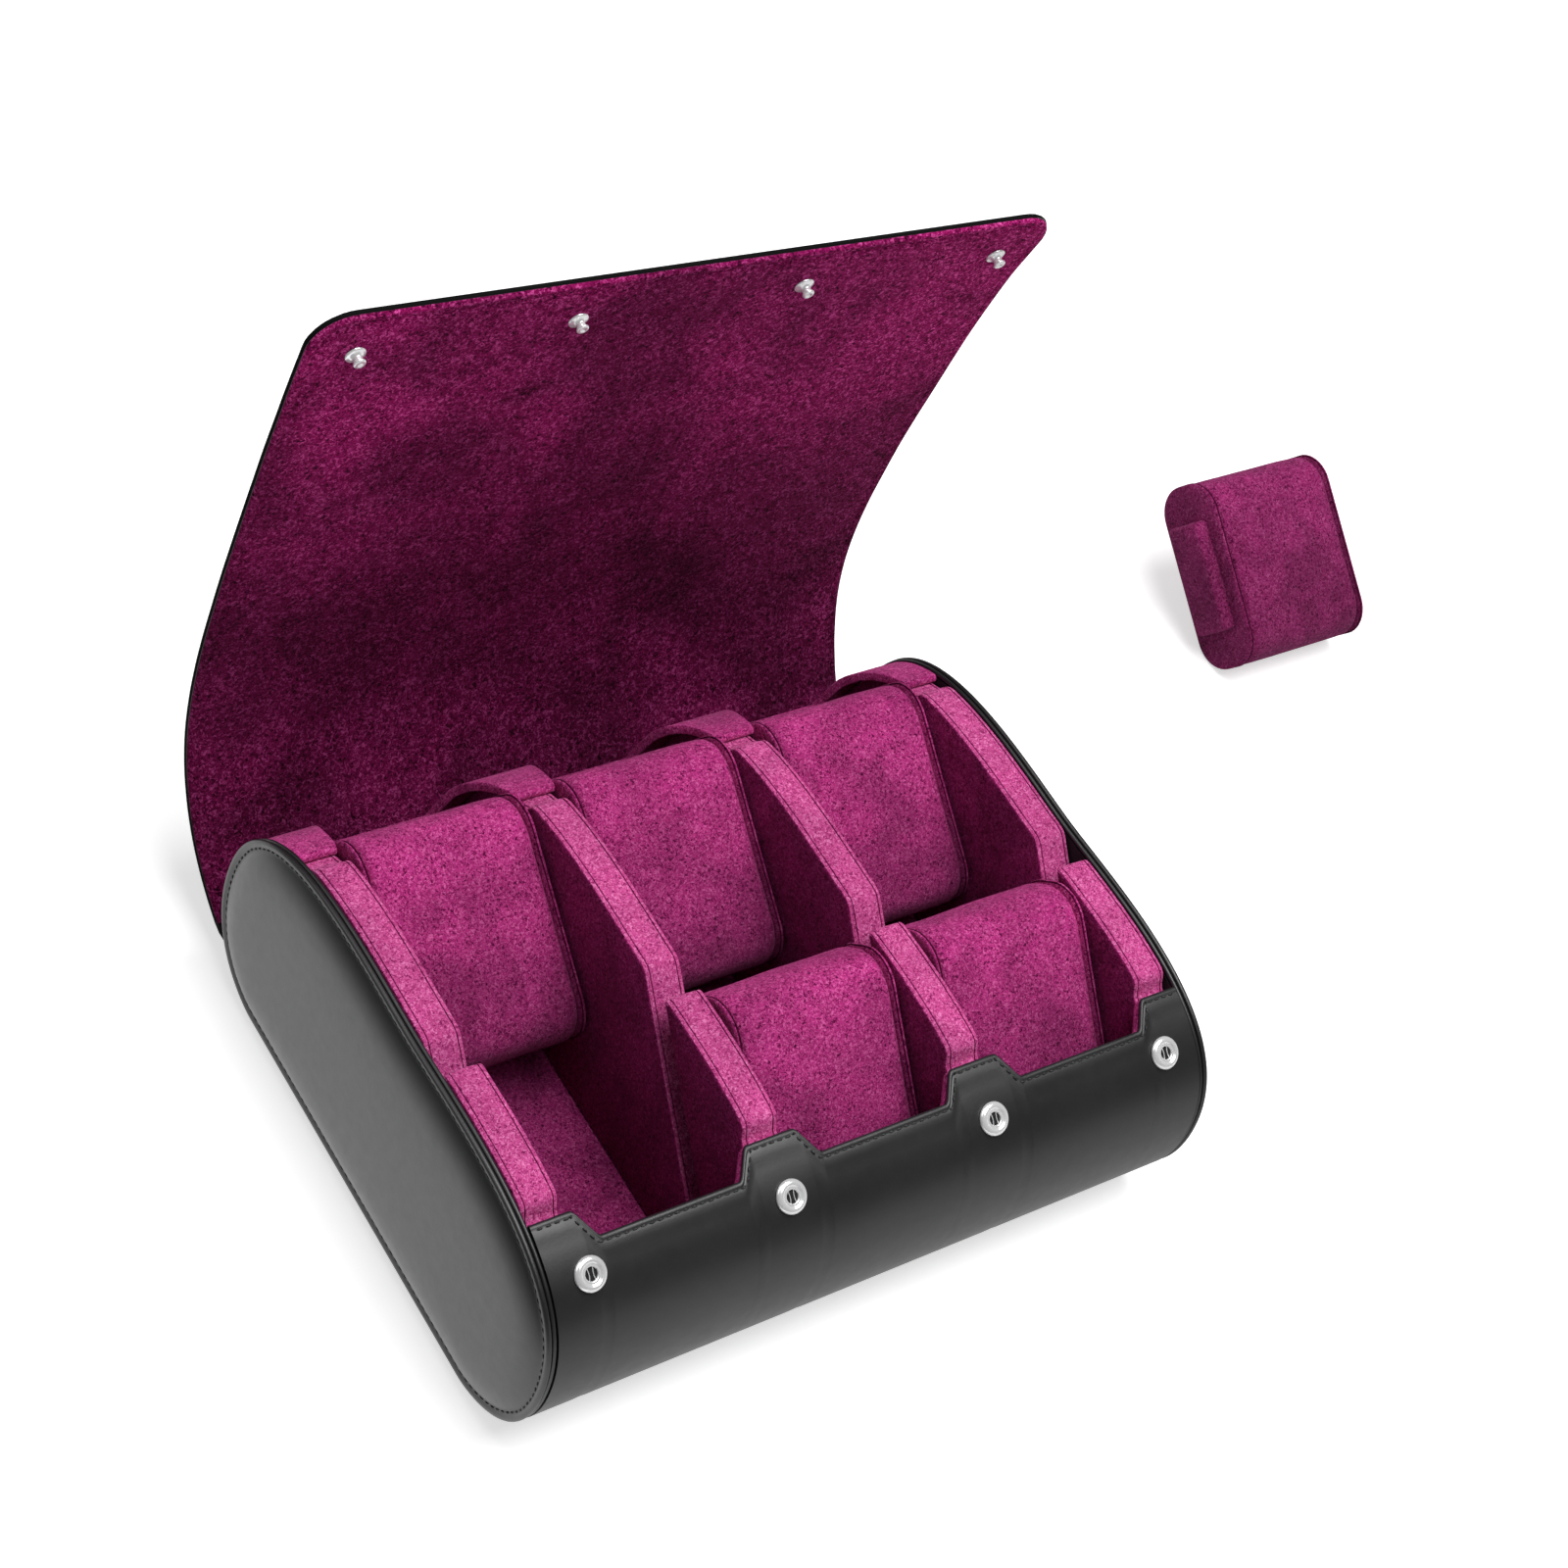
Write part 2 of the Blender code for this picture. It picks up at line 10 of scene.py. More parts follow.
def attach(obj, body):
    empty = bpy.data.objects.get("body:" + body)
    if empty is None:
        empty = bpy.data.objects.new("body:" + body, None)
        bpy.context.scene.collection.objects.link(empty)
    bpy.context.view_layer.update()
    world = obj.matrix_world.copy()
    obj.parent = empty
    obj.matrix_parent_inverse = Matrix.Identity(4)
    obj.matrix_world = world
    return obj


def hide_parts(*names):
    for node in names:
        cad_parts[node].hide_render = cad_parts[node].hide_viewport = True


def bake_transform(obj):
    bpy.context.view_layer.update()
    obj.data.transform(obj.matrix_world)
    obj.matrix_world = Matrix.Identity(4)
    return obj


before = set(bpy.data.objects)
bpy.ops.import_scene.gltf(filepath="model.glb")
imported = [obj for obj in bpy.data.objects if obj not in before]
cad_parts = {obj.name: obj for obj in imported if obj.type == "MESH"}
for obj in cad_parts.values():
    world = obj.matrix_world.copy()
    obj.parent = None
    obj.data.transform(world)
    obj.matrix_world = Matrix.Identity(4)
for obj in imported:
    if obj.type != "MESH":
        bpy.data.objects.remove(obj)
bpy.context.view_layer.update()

unit = 0.001  # everything below is written in millimetres
random.seed(7)
print("frame loaded:", len(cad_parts), "nodes")


# camera, light and floor
view = {"place": (-517.9, -396.4, 808.0), "lookAt": (27.2, 36.4, 89.9), "roll": 25.42,
        "lens": 76.28, "sensor": 36.0}
studio = {"fill": 0.27, "wall": 0.24, "ceiling": 0.07, "ceilingFrom": 0.2,
          "window": (-0.53, 0.43, 0.72), "windowEdge": (0.88, 0.95), "windowGlow": 1.6,
          "keyPower": 24.0, "keySize": 1.2, "keyPlace": (230.0, -120.0, 1500.0),
          "floorSize": 6000.0, "floorColour": 0.82, "floorGlow": 0.58,
          "card": [(-400, 0.2), (-250, 0.3), (-180, 1.5), (-122, 1.3), (-104, 0.85), (200, 0.75)]}


def mm(point):
    return Vector(point) * unit


def addObject(name, data, material=None):
    piece = bpy.data.objects.new(name, data)
    bpy.context.scene.collection.objects.link(piece)
    if material:
        data.materials.append(material)
    return piece


def aim(piece, place, target, roll=0.0):
    way = (mm(target) - mm(place)).to_track_quat("-Z", "Y")
    piece.rotation_mode = "QUATERNION"
    piece.rotation_quaternion = way @ Quaternion((0, 0, 1), math.radians(roll))
    piece.location = mm(place)


def placeCamera():
    lens = bpy.data.cameras.new("camera")
    lens.lens, lens.sensor_width, lens.sensor_fit = view["lens"], view["sensor"], "HORIZONTAL"
    lens.clip_start = 0.05
    camera = addObject("camera", lens)
    aim(camera, view["place"], view["lookAt"], view["roll"])
    bpy.context.scene.camera = camera


def lightStudio():
    lamp = bpy.data.lights.new("keyLight", "AREA")
    lamp.shape, lamp.size, lamp.energy = "DISK", studio["keySize"], studio["keyPower"]
    aim(addObject("keyLight", lamp), studio["keyPlace"], (0, 0, 0))


def paintWorld():
    world = bpy.data.worlds.new("studio")
    bpy.context.scene.world = world
    world.use_nodes = True
    tree = world.node_tree
    tree.nodes.clear()
    path = addNode(tree, "LightPath").outputs
    shown = calc(tree, "MAXIMUM", path["Is Camera Ray"], path["Is Transmission Ray"])
    fill, white = (addNode(tree, "Background", {"Color": (1, 1, 1, 1), "Strength": strength})
                   for strength in (studio["fill"], 1.0))
    # what gloss sees: walls that darken to the ceiling, and one window high on the left
    place = addNode(tree, "TexCoord").outputs["Generated"]
    room = ramp(tree, axis(tree, place, "Z"), [(0.0, studio["wall"]),
                                               (studio["ceilingFrom"], studio["ceiling"])])
    facing = addNode(tree, "VectorMath", {0: place, 1: studio["window"]}, operation="DOT_PRODUCT")
    window = ramp(tree, facing.outputs["Value"],
                  list(zip(studio["windowEdge"], (0.0, studio["windowGlow"]))))
    glossy = addNode(tree, "VectorMath", {0: room, 1: window}, operation="ADD")
    mirror = addNode(tree, "Background", {"Color": glossy.outputs[0], "Strength": 1.0})
    both = mixShader(tree, shown, mixShader(tree, path["Is Glossy Ray"], fill, mirror), white)
    addNode(tree, "OutputWorld", {"Surface": both.outputs[0]})


def layFloor():
    tone = studio["floorColour"]
    material = newMaterial("studioFloor", {"Base Color": (tone, tone, tone, 1), "Roughness": 0.9,
                                           "Specular IOR Level": 0.1})
    tree = material.node_tree
    path = addNode(tree, "LightPath").outputs
    glow, none = (addNode(tree, "Emission", {"Strength": strength})
                  for strength in (studio["floorGlow"], 0.0))
    some = mixShader(tree, path["Is Camera Ray"], none, glow)
    lit = addNode(tree, "AddShader", {0: tree.nodes["Principled BSDF"].outputs[0],
                                      1: some.outputs[0]})
    # gloss sees a card on the floor that is bright beside the left end
    low, high = studio["card"][0][0], studio["card"][-1][0]
    part = addNode(tree, "MapRange", {
        "Value": axis(tree, addNode(tree, "TexCoord").outputs["Object"], "X"),
        "From Min": low * unit, "From Max": high * unit})
    glint = ramp(tree, part.outputs["Result"],
                 [((x - low) / (high - low), value) for x, value in studio["card"]])
    card = addNode(tree, "Emission", {"Color": glint, "Strength": 1.0})
    total = mixShader(tree, path["Is Glossy Ray"], lit, card)
    tree.links.new(total.outputs[0], tree.nodes["Material Output"].inputs["Surface"])
    half = studio["floorSize"] / 2
    corners = [(-half, -half, 0), (half, -half, 0), (half, half, 0), (-half, half, 0)]
    addMesh("studioFloor", corners, [(0, 1, 2, 3)], material)


# lines in the section plane: every point is (y, z)

def bezier(a, b, c, d, count):
    points = []
    for i in range(count):
        t = i / count
        u = 1 - t
        points.append(Vector(a) * u ** 3 + Vector(b) * 3 * u * u * t
                      + Vector(c) * 3 * u * t * t + Vector(d) * t ** 3)
    return points


def runLengths(points):
    lengths = [0.0]
    for a, b in zip(points, points[1:]):
        lengths.append(lengths[-1] + (b - a).length)
    return lengths


def locate(lengths, s):
    # the step that holds the length s, and how far along it s lies
    k = min(max(bisect.bisect_right(lengths, s) - 1, 0), len(lengths) - 2)
    span = lengths[k + 1] - lengths[k]
    return k, (s - lengths[k]) / span if span else 0


def resample(points, step, closed=False):
    line = list(points) + ([points[0]] if closed else [])
    lengths = runLengths(line)
    count = max(2, round(lengths[-1] / step))
    out = []
    for i in range(count if closed else count + 1):
        k, t = locate(lengths, lengths[-1] * i / count)
        out.append(line[k].lerp(line[k + 1], t))
    return out


def throughPoints(points, parts=12):
    # smooth line through the points, in steps of a millimetre
    pts = [Vector(p) for p in points]
    pts = [pts[0] * 2 - pts[1]] + pts + [pts[-1] * 2 - pts[-2]]
    out = []
    for i in range(1, len(pts) - 2):
        a, b, c, d = pts[i - 1:i + 3]
        for t in (k / parts for k in range(parts)):
            out.append(0.5 * ((2 * b) + (c - a) * t + (2 * a - 5 * b + 4 * c - d) * t * t
                              + (3 * b - a - 3 * c + d) * t ** 3))
    return resample(out + [pts[-2]], 1.0)


def ways(points):
    # the direction of the line at each of its points
    last = len(points) - 1
    return [(points[min(i + 1, last)] - points[max(i - 1, 0)]).normalized()
            for i in range(last + 1)]


def turns(count):
    return [math.tau * k / count for k in range(count)]


def leftOf(way):
    return Vector((-way.y, way.x))


def makePath(points):
    lengths = runLengths(points)
    return {"points": points, "lengths": lengths, "tangents": ways(points), "total": lengths[-1]}


def onPath(path, s, h=0.0):
    # a place on the path, moved h to the inside
    k, t = locate(path["lengths"], s)
    spot = path["points"][k].lerp(path["points"][k + 1], t)
    way = path["tangents"][k].lerp(path["tangents"][k + 1], min(max(t, 0), 1)).normalized()
    return spot + leftOf(way) * h, leftOf(way)


def pathRing(path, x, line):
    # the points of a section line, given as (length, height) on the path
    return [(x, *onPath(path, s, h)[0]) for s, h in line]


case = {"halfLength": 120.0, "halfDepth": 95.4, "height": 78.4, "halfBase": 66.0,
        "deepest": 34.6, "shellHalf": 116.8, "pitch": 73.8, "panel": 12.6, "endPanel": 12.4}


def ovalOutline(step=1.6):
    base, deep, top = case["halfBase"], case["halfDepth"], case["height"]
    half = bezier((base, 0), (base + 4, 0), (deep, 4), (deep, case["deepest"]), 40)
    half += bezier((deep, case["deepest"]), (deep, top + 9.6), (28, top), (0, top), 60)
    ring = [Vector((0, 0))] + half + [Vector((0, top))]
    ring += [Vector((-p.x, p.y)) for p in reversed(half)]
    return resample(ring, step, closed=True)


def insetRing(ring, distance):
    return [p + leftOf((ring[(i + 1) % len(ring)] - ring[i - 1]).normalized()) * distance
            for i, p in enumerate(ring)]


outline = ovalOutline()


# meshes, from millimetres to the frame's metres

def addMesh(name, verts, faces, material, sharp=40):
    mesh = bpy.data.meshes.new(name)
    mesh.from_pydata([tuple(c * unit for c in v) for v in verts], [], faces)
    shape = bmesh.new()
    shape.from_mesh(mesh)
    bmesh.ops.recalc_face_normals(shape, faces=shape.faces)
    shape.to_mesh(mesh)
    shape.free()
    mesh.polygons.foreach_set("use_smooth", [True] * len(mesh.polygons))
    mesh.set_sharp_from_angle(angle=math.radians(sharp))
    return addObject(name, mesh, material)


def tubeFaces(first, rows, count, around=False):
    # faces over rows of points, closed at both ends or round on itself
    starts = [first + i * count for i in range(rows)]
    faces = []
    for a, b in zip(starts, starts[1:] + ([first] if around else [])):
        faces += [(a + i, a + (i + 1) % count, b + (i + 1) % count, b + i) for i in range(count)]
    if not around:
        faces += [tuple(first + i for i in range(count))[::-1],
                  tuple(starts[-1] + i for i in range(count))]
    return faces


def loft(name, rings, material, around=False, sharp=40):
    return addMesh(name, [p for ring in rings for p in ring],
                   tubeFaces(0, len(rings), len(rings[0]), around), material, sharp)


def joined(name, pieces):
    shape = bmesh.new()
    material = pieces[0].data.materials[0]
    for piece in pieces:
        mesh = piece.data
        shape.from_mesh(mesh)
        bpy.data.objects.remove(piece)
        bpy.data.meshes.remove(mesh)
    mesh = bpy.data.meshes.new(name)
    shape.to_mesh(mesh)
    shape.free()
    return addObject(name, mesh, material)


def settle(piece, body, slotName, *nodes):
    if body:
        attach(piece, body)
    if nodes:
        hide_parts(*nodes)
    return piece


# shader nodes and groups

def addNode(tree, kind, inputs=None, **props):
    # an input is a plain value, or a socket that is linked to it
    node = tree.nodes.new("ShaderNode" + kind)
    for key, value in props.items():
        setattr(node, key, value)
    for key, value in (inputs or {}).items():
        if isinstance(value, bpy.types.NodeSocket):
            tree.links.new(value, node.inputs[key])
        else:
            node.inputs[key].default_value = value
    return node


def calc(tree, operation, *terms):
    return addNode(tree, "Math", dict(enumerate(terms)), operation=operation).outputs[0]


def axis(tree, place, letter):
    return addNode(tree, "SeparateXYZ", {0: place}).outputs[letter]


def mixShader(tree, factor, a, b):
    return addNode(tree, "MixShader", {0: factor, 1: a.outputs[0], 2: b.outputs[0]})


def mixColour(tree, factor, a, b):
    mix = addNode(tree, "Mix", data_type="RGBA")
    colours = [socket for socket in mix.inputs if socket.type == "RGBA"]
    for source, socket in ((factor, mix.inputs[0]), (a, colours[0]), (b, colours[1])):
        tree.links.new(source, socket)
    return [socket for socket in mix.outputs if socket.type == "RGBA"][0]


def ramp(tree, source, stops):
    # stops of grey: (place, value)
    node = addNode(tree, "ValToRGB", {"Fac": source})
    elements = node.color_ramp.elements
    while len(elements) < len(stops):
        elements.new(0.5)
    for element, (place, value) in zip(elements, stops):
        element.position = place
        element.color = (value, value, value, 1)
    return node.outputs["Color"]


def noiseMap(tree, place, scale, detail, roughness=0.5, distortion=0.0):
    return addNode(tree, "TexNoise", {
        "Vector": place, "Scale": scale, "Detail": detail, "Roughness": roughness,
        "Distortion": distortion}).outputs["Fac"]


def newGroup(name, inputs):
    tree = bpy.data.node_groups.new(name, "ShaderNodeTree")
    for label, value in inputs.items():
        kind = "NodeSocketFloat" if isinstance(value, float) else "NodeSocketColor"
        tree.interface.new_socket(label, in_out="INPUT", socket_type=kind).default_value = value
    for label, kind in (("Color", "Color"), ("Roughness", "Float"), ("Normal", "Vector")):
        tree.interface.new_socket(label, in_out="OUTPUT", socket_type="NodeSocket" + kind)
    return tree, tree.nodes.new("NodeGroupInput").outputs


def closeGroup(tree, colour, rough, height, distance, relief):
    bump = addNode(tree, "Bump", {"Height": height, "Strength": relief, "Distance": distance})
    end = tree.nodes.new("NodeGroupOutput").inputs
    for label, source in (("Color", colour), ("Roughness", rough),
                          ("Normal", bump.outputs["Normal"])):
        tree.links.new(source, end[label])
    return tree


# what a material has, unless it names another value
# Shade From, Shade To and Low Shade paint shade into the colour, darker near the floor
napLook = {"Fibre": (0.46, 0.030, 0.200, 1), "Gap": (0.070, 0.002, 0.028, 1),
           "Tip": (0.70, 0.13, 0.38, 1), "Clump Scale": 1250.0, "Brush Scale": 55.0,
           "Brush Depth": 0.24, "Shade From": 0.0, "Shade To": 0.062, "Low Shade": 0.30,
           "Relief": 0.75}
grainLook = {"Hide": (0.009, 0.009, 0.010, 1), "Rubbed": (0.014, 0.014, 0.015, 1),
             "Pore Scale": 1500.0, "Gloss": 0.36, "Relief": 0.10}


# short brushed suede nap: clumped fibres, darker gaps and broad brush marks, and painted shade that
# darkens it low down
def buildNapGroup():
    tree, start = newGroup("brushed nap and painted shade", napLook)
    place = addNode(tree, "TexCoord").outputs["Object"]
    # painted shade: below Shade To the colour is darkened by up to Low Shade
    depth = addNode(tree, "MapRange", {
        "Value": axis(tree, place, "Z"), "From Min": start["Shade From"],
        "From Max": start["Shade To"], "To Min": 1.0, "To Max": 0.0},
        interpolation_type="SMOOTHSTEP").outputs["Result"]
    kept = calc(tree, "SUBTRACT", 1.0, calc(tree, "MULTIPLY", depth, start["Low Shade"]))
    fine = noiseMap(tree, place, start["Clump Scale"], 4.0, 0.62, 1.1)
    coarse = calc(tree, "MULTIPLY", start["Clump Scale"], 0.28)
    medium = noiseMap(tree, place, coarse, 2.0, 0.5, 0.5)
    brush = noiseMap(tree, place, start["Brush Scale"], 3.0, 0.5, 0.7)
    pile = calc(tree, "MULTIPLY_ADD", fine, 0.90, calc(tree, "MULTIPLY", medium, 0.10))
    deep = ramp(tree, pile, [(0.38, 1.0), (0.48, 0.0)])
    high = ramp(tree, pile, [(0.52, 0.0), (0.63, 1.0)])
    base = mixColour(tree, deep, start["Fibre"], start["Gap"])
    tipped = mixColour(tree, high, base, start["Tip"])
    shade = addNode(tree, "MapRange", {
        "Value": ramp(tree, brush, [(0.36, 0.0), (0.62, 1.0)]), "From Min": 0.0, "From Max": 1.0,
        "To Min": calc(tree, "SUBTRACT", 1.0, start["Brush Depth"]), "To Max": 1.12})
    # brush marks times the painted low shade
    both = calc(tree, "MULTIPLY", shade.outputs["Result"], kept)
    tinted = addNode(tree, "VectorMath", {0: tipped, 1: both}, operation="MULTIPLY")
    rough = addNode(tree, "MapRange", {"Value": pile, "To Min": 0.98, "To Max": 0.8})
    return closeGroup(tree, tinted.outputs[0], rough.outputs["Result"], pile, 0.0007,
                      start["Relief"])


def buildGrainGroup():
    tree, start = newGroup("leather grain", grainLook)
    place = addNode(tree, "TexCoord").outputs["Object"]
    pores = addNode(tree, "TexVoronoi", {"Vector": place, "Scale": start["Pore Scale"],
                                         "Randomness": 1.0}, feature="F1")
    waves = noiseMap(tree, place, 260.0, 4.0, 0.6)
    worn = ramp(tree, noiseMap(tree, place, 22.0, 3.0), [(0.42, 0.0), (0.75, 1.0)])
    return closeGroup(tree, mixColour(tree, worn, start["Hide"], start["Rubbed"]),
                      calc(tree, "MULTIPLY_ADD", waves, 0.12, start["Gloss"]),
                      calc(tree, "MULTIPLY_ADD", pores.outputs["Distance"], 0.5, waves), 0.0002,
                      start["Relief"])


def newMaterial(name, shaderValues, group=None, groupValues=None, viewColour=(0.5, 0.5, 0.5)):
    material = bpy.data.materials.new(name)
    material.use_nodes = True
    material.diffuse_color = (*viewColour, 1)
    tree = material.node_tree
    shader = tree.nodes["Principled BSDF"].inputs
    for key, value in shaderValues.items():
        shader[key].default_value = value
    if group:
        effect = addNode(tree, "Group", node_tree=group)
        for key, value in groupValues.items():
            effect.inputs[key].default_value = value
        for out, into in (("Color", "Base Color"), ("Roughness", "Roughness"),
                          ("Normal", "Normal")):
            tree.links.new(effect.outputs[out], shader[into])
    return material


nap = buildNapGroup()
grain = buildGrainGroup()


def newSuede(name, sheen, viewColour, changes=None):
    return newMaterial(name, {"Sheen Weight": sheen, "Sheen Roughness": 0.5,
                              "Sheen Tint": (1, 0.30, 0.62, 1), "Specular IOR Level": 0.05},
                       nap, {**napLook, **(changes or {})}, viewColour)


def newLeather(name, specular, viewColour, changes=None, metallic=0.0):
    return newMaterial(name, {"Specular IOR Level": specular, "Metallic": metallic}, grain,
                       {**grainLook, **(changes or {})}, viewColour)


# front lining and rear wall: the default painted shade darkens them near the floor
suede = newSuede("magentaSuede", 0.22, (0.5, 0.05, 0.25))
# cushions: stronger painted shade, darker towards their lower ends
shadedCushionSuede = newSuede("shadedCushionSuede", 0.14, (0.5, 0.05, 0.25), {
    "Shade From": 0.024, "Shade To": 0.085, "Low Shade": 0.62})
# lighter, paler copy of the suede: painted light on the dividers' top edges
litBandSuede = newSuede("litEdgeSuede", 0.22, (0.6, 0.1, 0.3), {
    "Fibre": (0.55, 0.065, 0.255, 1), "Gap": (0.18, 0.010, 0.075, 1),
    "Tip": (0.78, 0.22, 0.48, 1), "Brush Depth": 0.10, "Low Shade": 0.3})
# darker copy of the suede: painted shade on the dividers' sides and undersides
shadedSideSuede = newSuede("shadedSideSuede", 0.1, (0.3, 0.03, 0.15), {
    "Fibre": (0.23, 0.009, 0.092, 1), "Gap": (0.045, 0.001, 0.018, 1),
    "Tip": (0.40, 0.05, 0.20, 1), "Low Shade": 0.25})
# lid lining: broad brush marks, and painted shade that darkens its lower part
liningSuede = newSuede("lidSuede", 0.03, (0.3, 0.03, 0.15), {
    "Fibre": (0.28, 0.006, 0.100, 1), "Gap": (0.030, 0.001, 0.011, 1),
    "Tip": (0.70, 0.09, 0.36, 1), "Clump Scale": 900.0, "Brush Scale": 20.0,
    "Brush Depth": 0.50, "Shade From": 0.070, "Shade To": 0.21, "Low Shade": 0.60, "Relief": 0.6})
# near-black copy of the suede: painted shade for the seam grooves
shadedSeamSuede = newSuede("shadedSeamSuede", 0.0, (0.05, 0.01, 0.03), {
    "Fibre": (0.06, 0.002, 0.024, 1), "Gap": (0.02, 0.001, 0.008, 1),
    "Tip": (0.12, 0.01, 0.05, 1)})
leather = newLeather("blackLeather", 0.70, (0.03, 0.03, 0.03))
edgeLeather = newLeather("edgeLeather", 0.06, (0.03, 0.03, 0.03), {
    "Hide": (0.004, 0.004, 0.004, 1), "Rubbed": (0.006, 0.006, 0.006, 1), "Gloss": 0.7})
board = newLeather("blackBoard", 0.3, (0.02, 0.02, 0.02), {"Gloss": 0.6, "Relief": 0.3})
thread = newLeather("blackThread", 0.6, (0.02, 0.02, 0.02), {
    "Hide": (0.012, 0.012, 0.013, 1), "Rubbed": (0.020, 0.020, 0.021, 1), "Pore Scale": 5200.0,
    "Gloss": 0.40, "Relief": 0.4})
# half diffuse and near white: a painted reflection that makes the snaps read white
chrome = newLeather("snapChrome", 0.5, (0.8, 0.8, 0.8), {
    "Hide": (0.96, 0.96, 0.97, 1), "Rubbed": (0.88, 0.88, 0.89, 1), "Pore Scale": 900.0,
    "Gloss": 0.12, "Relief": 0.02}, metallic=0.5)
print("materials ready")

placeCamera()
lightStudio()
paintWorld()
layFloor()
bpy.context.scene.view_settings.view_transform = "Standard"
print("camera, light and floor ready")


# front wall and base: one sheet of leather with a stepped, turned and stitched rim

wrap = {"thickness": 1.6, "tabSetback": 63.8, "lowSetback": 71.6, "tabTop": 8.6, "tabRoot": 13.8,
        "endTop": 16.8, "endRoot": 22.0, "rowStep": 3.0, "turned": 5.6, "stitchInset": 1.95,
        "stitchEnd": 115.6}


def buildWrapPath():
    top = len(outline) // 2
    ring = outline[top:] + [outline[0]]
    start = next(i for i, p in enumerate(ring) if p.x <= -wrap["tabSetback"])
    a, b = ring[start - 1], ring[start]
    first = a.lerp(b, (-wrap["tabSetback"] - a.x) / (b.x - a.x))
    base = [Vector((x, 0)) for x in range(2, int(case["halfBase"]) + 1, 4)]
    return makePath(resample([first] + ring[start:] + base, 1.0))


wrapPath = buildWrapPath()
lowStart = next(s for s, p in zip(wrapPath["lengths"], wrapPath["points"])
                if p.x <= -wrap["lowSetback"])


def rimLine(rootHalf, topHalf, endRoot, endTop, low, end):
    # (x, distance below the tab tops) of the stepped rim's corners
    half, x = case["halfLength"], case["pitch"] / 2
    right = [(x - rootHalf, low), (x - topHalf, 0), (x + topHalf, 0), (x + rootHalf, low),
             (half - endRoot, low), (half - endTop, 0), (end, 0)]
    return [(-a, s) for a, s in reversed(right)] + right


rim = rimLine(wrap["tabRoot"], wrap["tabTop"], wrap["endRoot"], wrap["endTop"], lowStart,
              case["shellHalf"])


def along(line, x):
    for (a, s), (b, t) in zip(line, line[1:]):
        if a <= x <= b:
            return s + (t - s) * (x - a) / (b - a) if b > a else s
    return line[0][1] if x < line[0][0] else line[-1][1]


def columnsFor(line, step=4.0, close=0.7):
    # places across, close together at the corners of the line
    stops = sorted({round(x + d, 3) for x, s in line for d in (-close, -0.2, 0.2, close)
                    if line[0][0] <= x + d <= line[-1][0]} | {line[0][0], line[-1][0]})
    out = []
    for a, b in zip(stops, stops[1:]):
        count = max(1, round((b - a) / step))
        out += [a + (b - a) * i / count for i in range(count)]
    return out + [stops[-1]]


def softRim(line, x, reach=0.7):
    # the rim's corners are a little rounded
    return (along(line, x - reach) + 2 * along(line, x) + along(line, x + reach)) / 4


rimProfile = [(0.0, 0.8), (0.12, 0.30), (0.45, -0.06), (1.0, -0.20), (1.5, -0.16), (1.9, -0.02),
              (2.3, -0.10), (3.2, -0.14), (4.8, -0.10), (wrap["turned"], 0.02)]


def buildWrap():
    rings = []
    edge, thickness = rimProfile[-1][0], wrap["thickness"]
    count = round((wrapPath["total"] - edge) / wrap["rowStep"])
    for x in columnsFor(rim):
        top = softRim(rim, x)
        rest = wrapPath["total"] - top - edge
        rows = [top + edge + rest * i / count for i in range(count + 1)]
        line = [(top + d, h) for d, h in rimProfile] + [(s, 0.0) for s in rows[1:]]
        line += [(s, thickness) for s in reversed(rows)]
        line += [(top + 1.2, thickness), (top + 0.3, 1.35)]
        rings.append(pathRing(wrapPath, x, line))
    settle(loft("wrapLeather", rings, leather, sharp=50), "case", "black_leather", "outer_wrap")


# stitches: short threads that dip into the leather at both ends

stitch = {"length": 2.1, "gap": 0.7, "wobble": 0.08, "sides": 6,
          "rows": [(0.0, 0.25, -0.9), (0.10, 0.75, -0.1), (0.3, 1.0, 0.75), (0.5, 1.0, 1.0),
                   (0.7, 1.0, 0.75), (0.90, 0.75, -0.1), (1.0, 0.25, -0.9)]}


def offsetLine(points, distance):
    return [p + leftOf(way) * distance for p, way in zip(points, ways(points))]


def stitchRow(name, line, body, radius=0.24, lift=0.10, material=None):
    # the line's points are (place, way out of the leather)
    lengths = runLengths([spot for spot, normal in line])
    count = int(lengths[-1] / (stitch["length"] + stitch["gap"]))
    pitch = lengths[-1] / count
    sides, rows = stitch["sides"], stitch["rows"]
    verts, faces = [], []

    def place(s):
        k, t = locate(lengths, s)
        (a, before), (b, after) = line[k], line[k + 1]
        return a.lerp(b, t), before.lerp(after, t).normalized()

    for n in range(count):
        wobble = random.uniform(-stitch["wobble"], stitch["wobble"])
        faces += tubeFaces(len(verts), len(rows), sides)
        for f, r, up in rows:
            s = n * pitch + stitch["gap"] / 2 + f * (pitch - stitch["gap"])
            spot, normal = place(s)
            way = (place(s + 0.05)[0] - spot).normalized()
            side = normal.cross(way).normalized()
            centre = spot + normal * (lift + radius * (up - 0.35)) + side * wobble
            verts += [centre + (side * math.cos(a) + normal * math.sin(a)) * radius * r
                      for a in turns(sides)]
    settle(addMesh(name, verts, faces, material or thread, sharp=80), body, "black_leather")


def wrapSpot(x, s, h):
    spot, inside = onPath(wrapPath, s, h)
    return Vector((x, spot.x, spot.y)), Vector((0, -inside.x, -inside.y))


def buildRimStitches():
    flat = resample([Vector(p) for p in rim], 0.5)
    line, end = resample(offsetLine(flat, wrap["stitchInset"]), 0.5), wrap["stitchEnd"]
    stitchRow("rimStitches", [wrapSpot(min(max(p.x, -end), end), p.y, 0.0) for p in line],
              "case", radius=0.31, lift=0.14)


buildWrap()
buildRimStitches()
print("front wall done")


# lining of the front wall and floor: suede over board
lining = {"from": 1.9, "to": 4.9, "rowStep": 3.0}


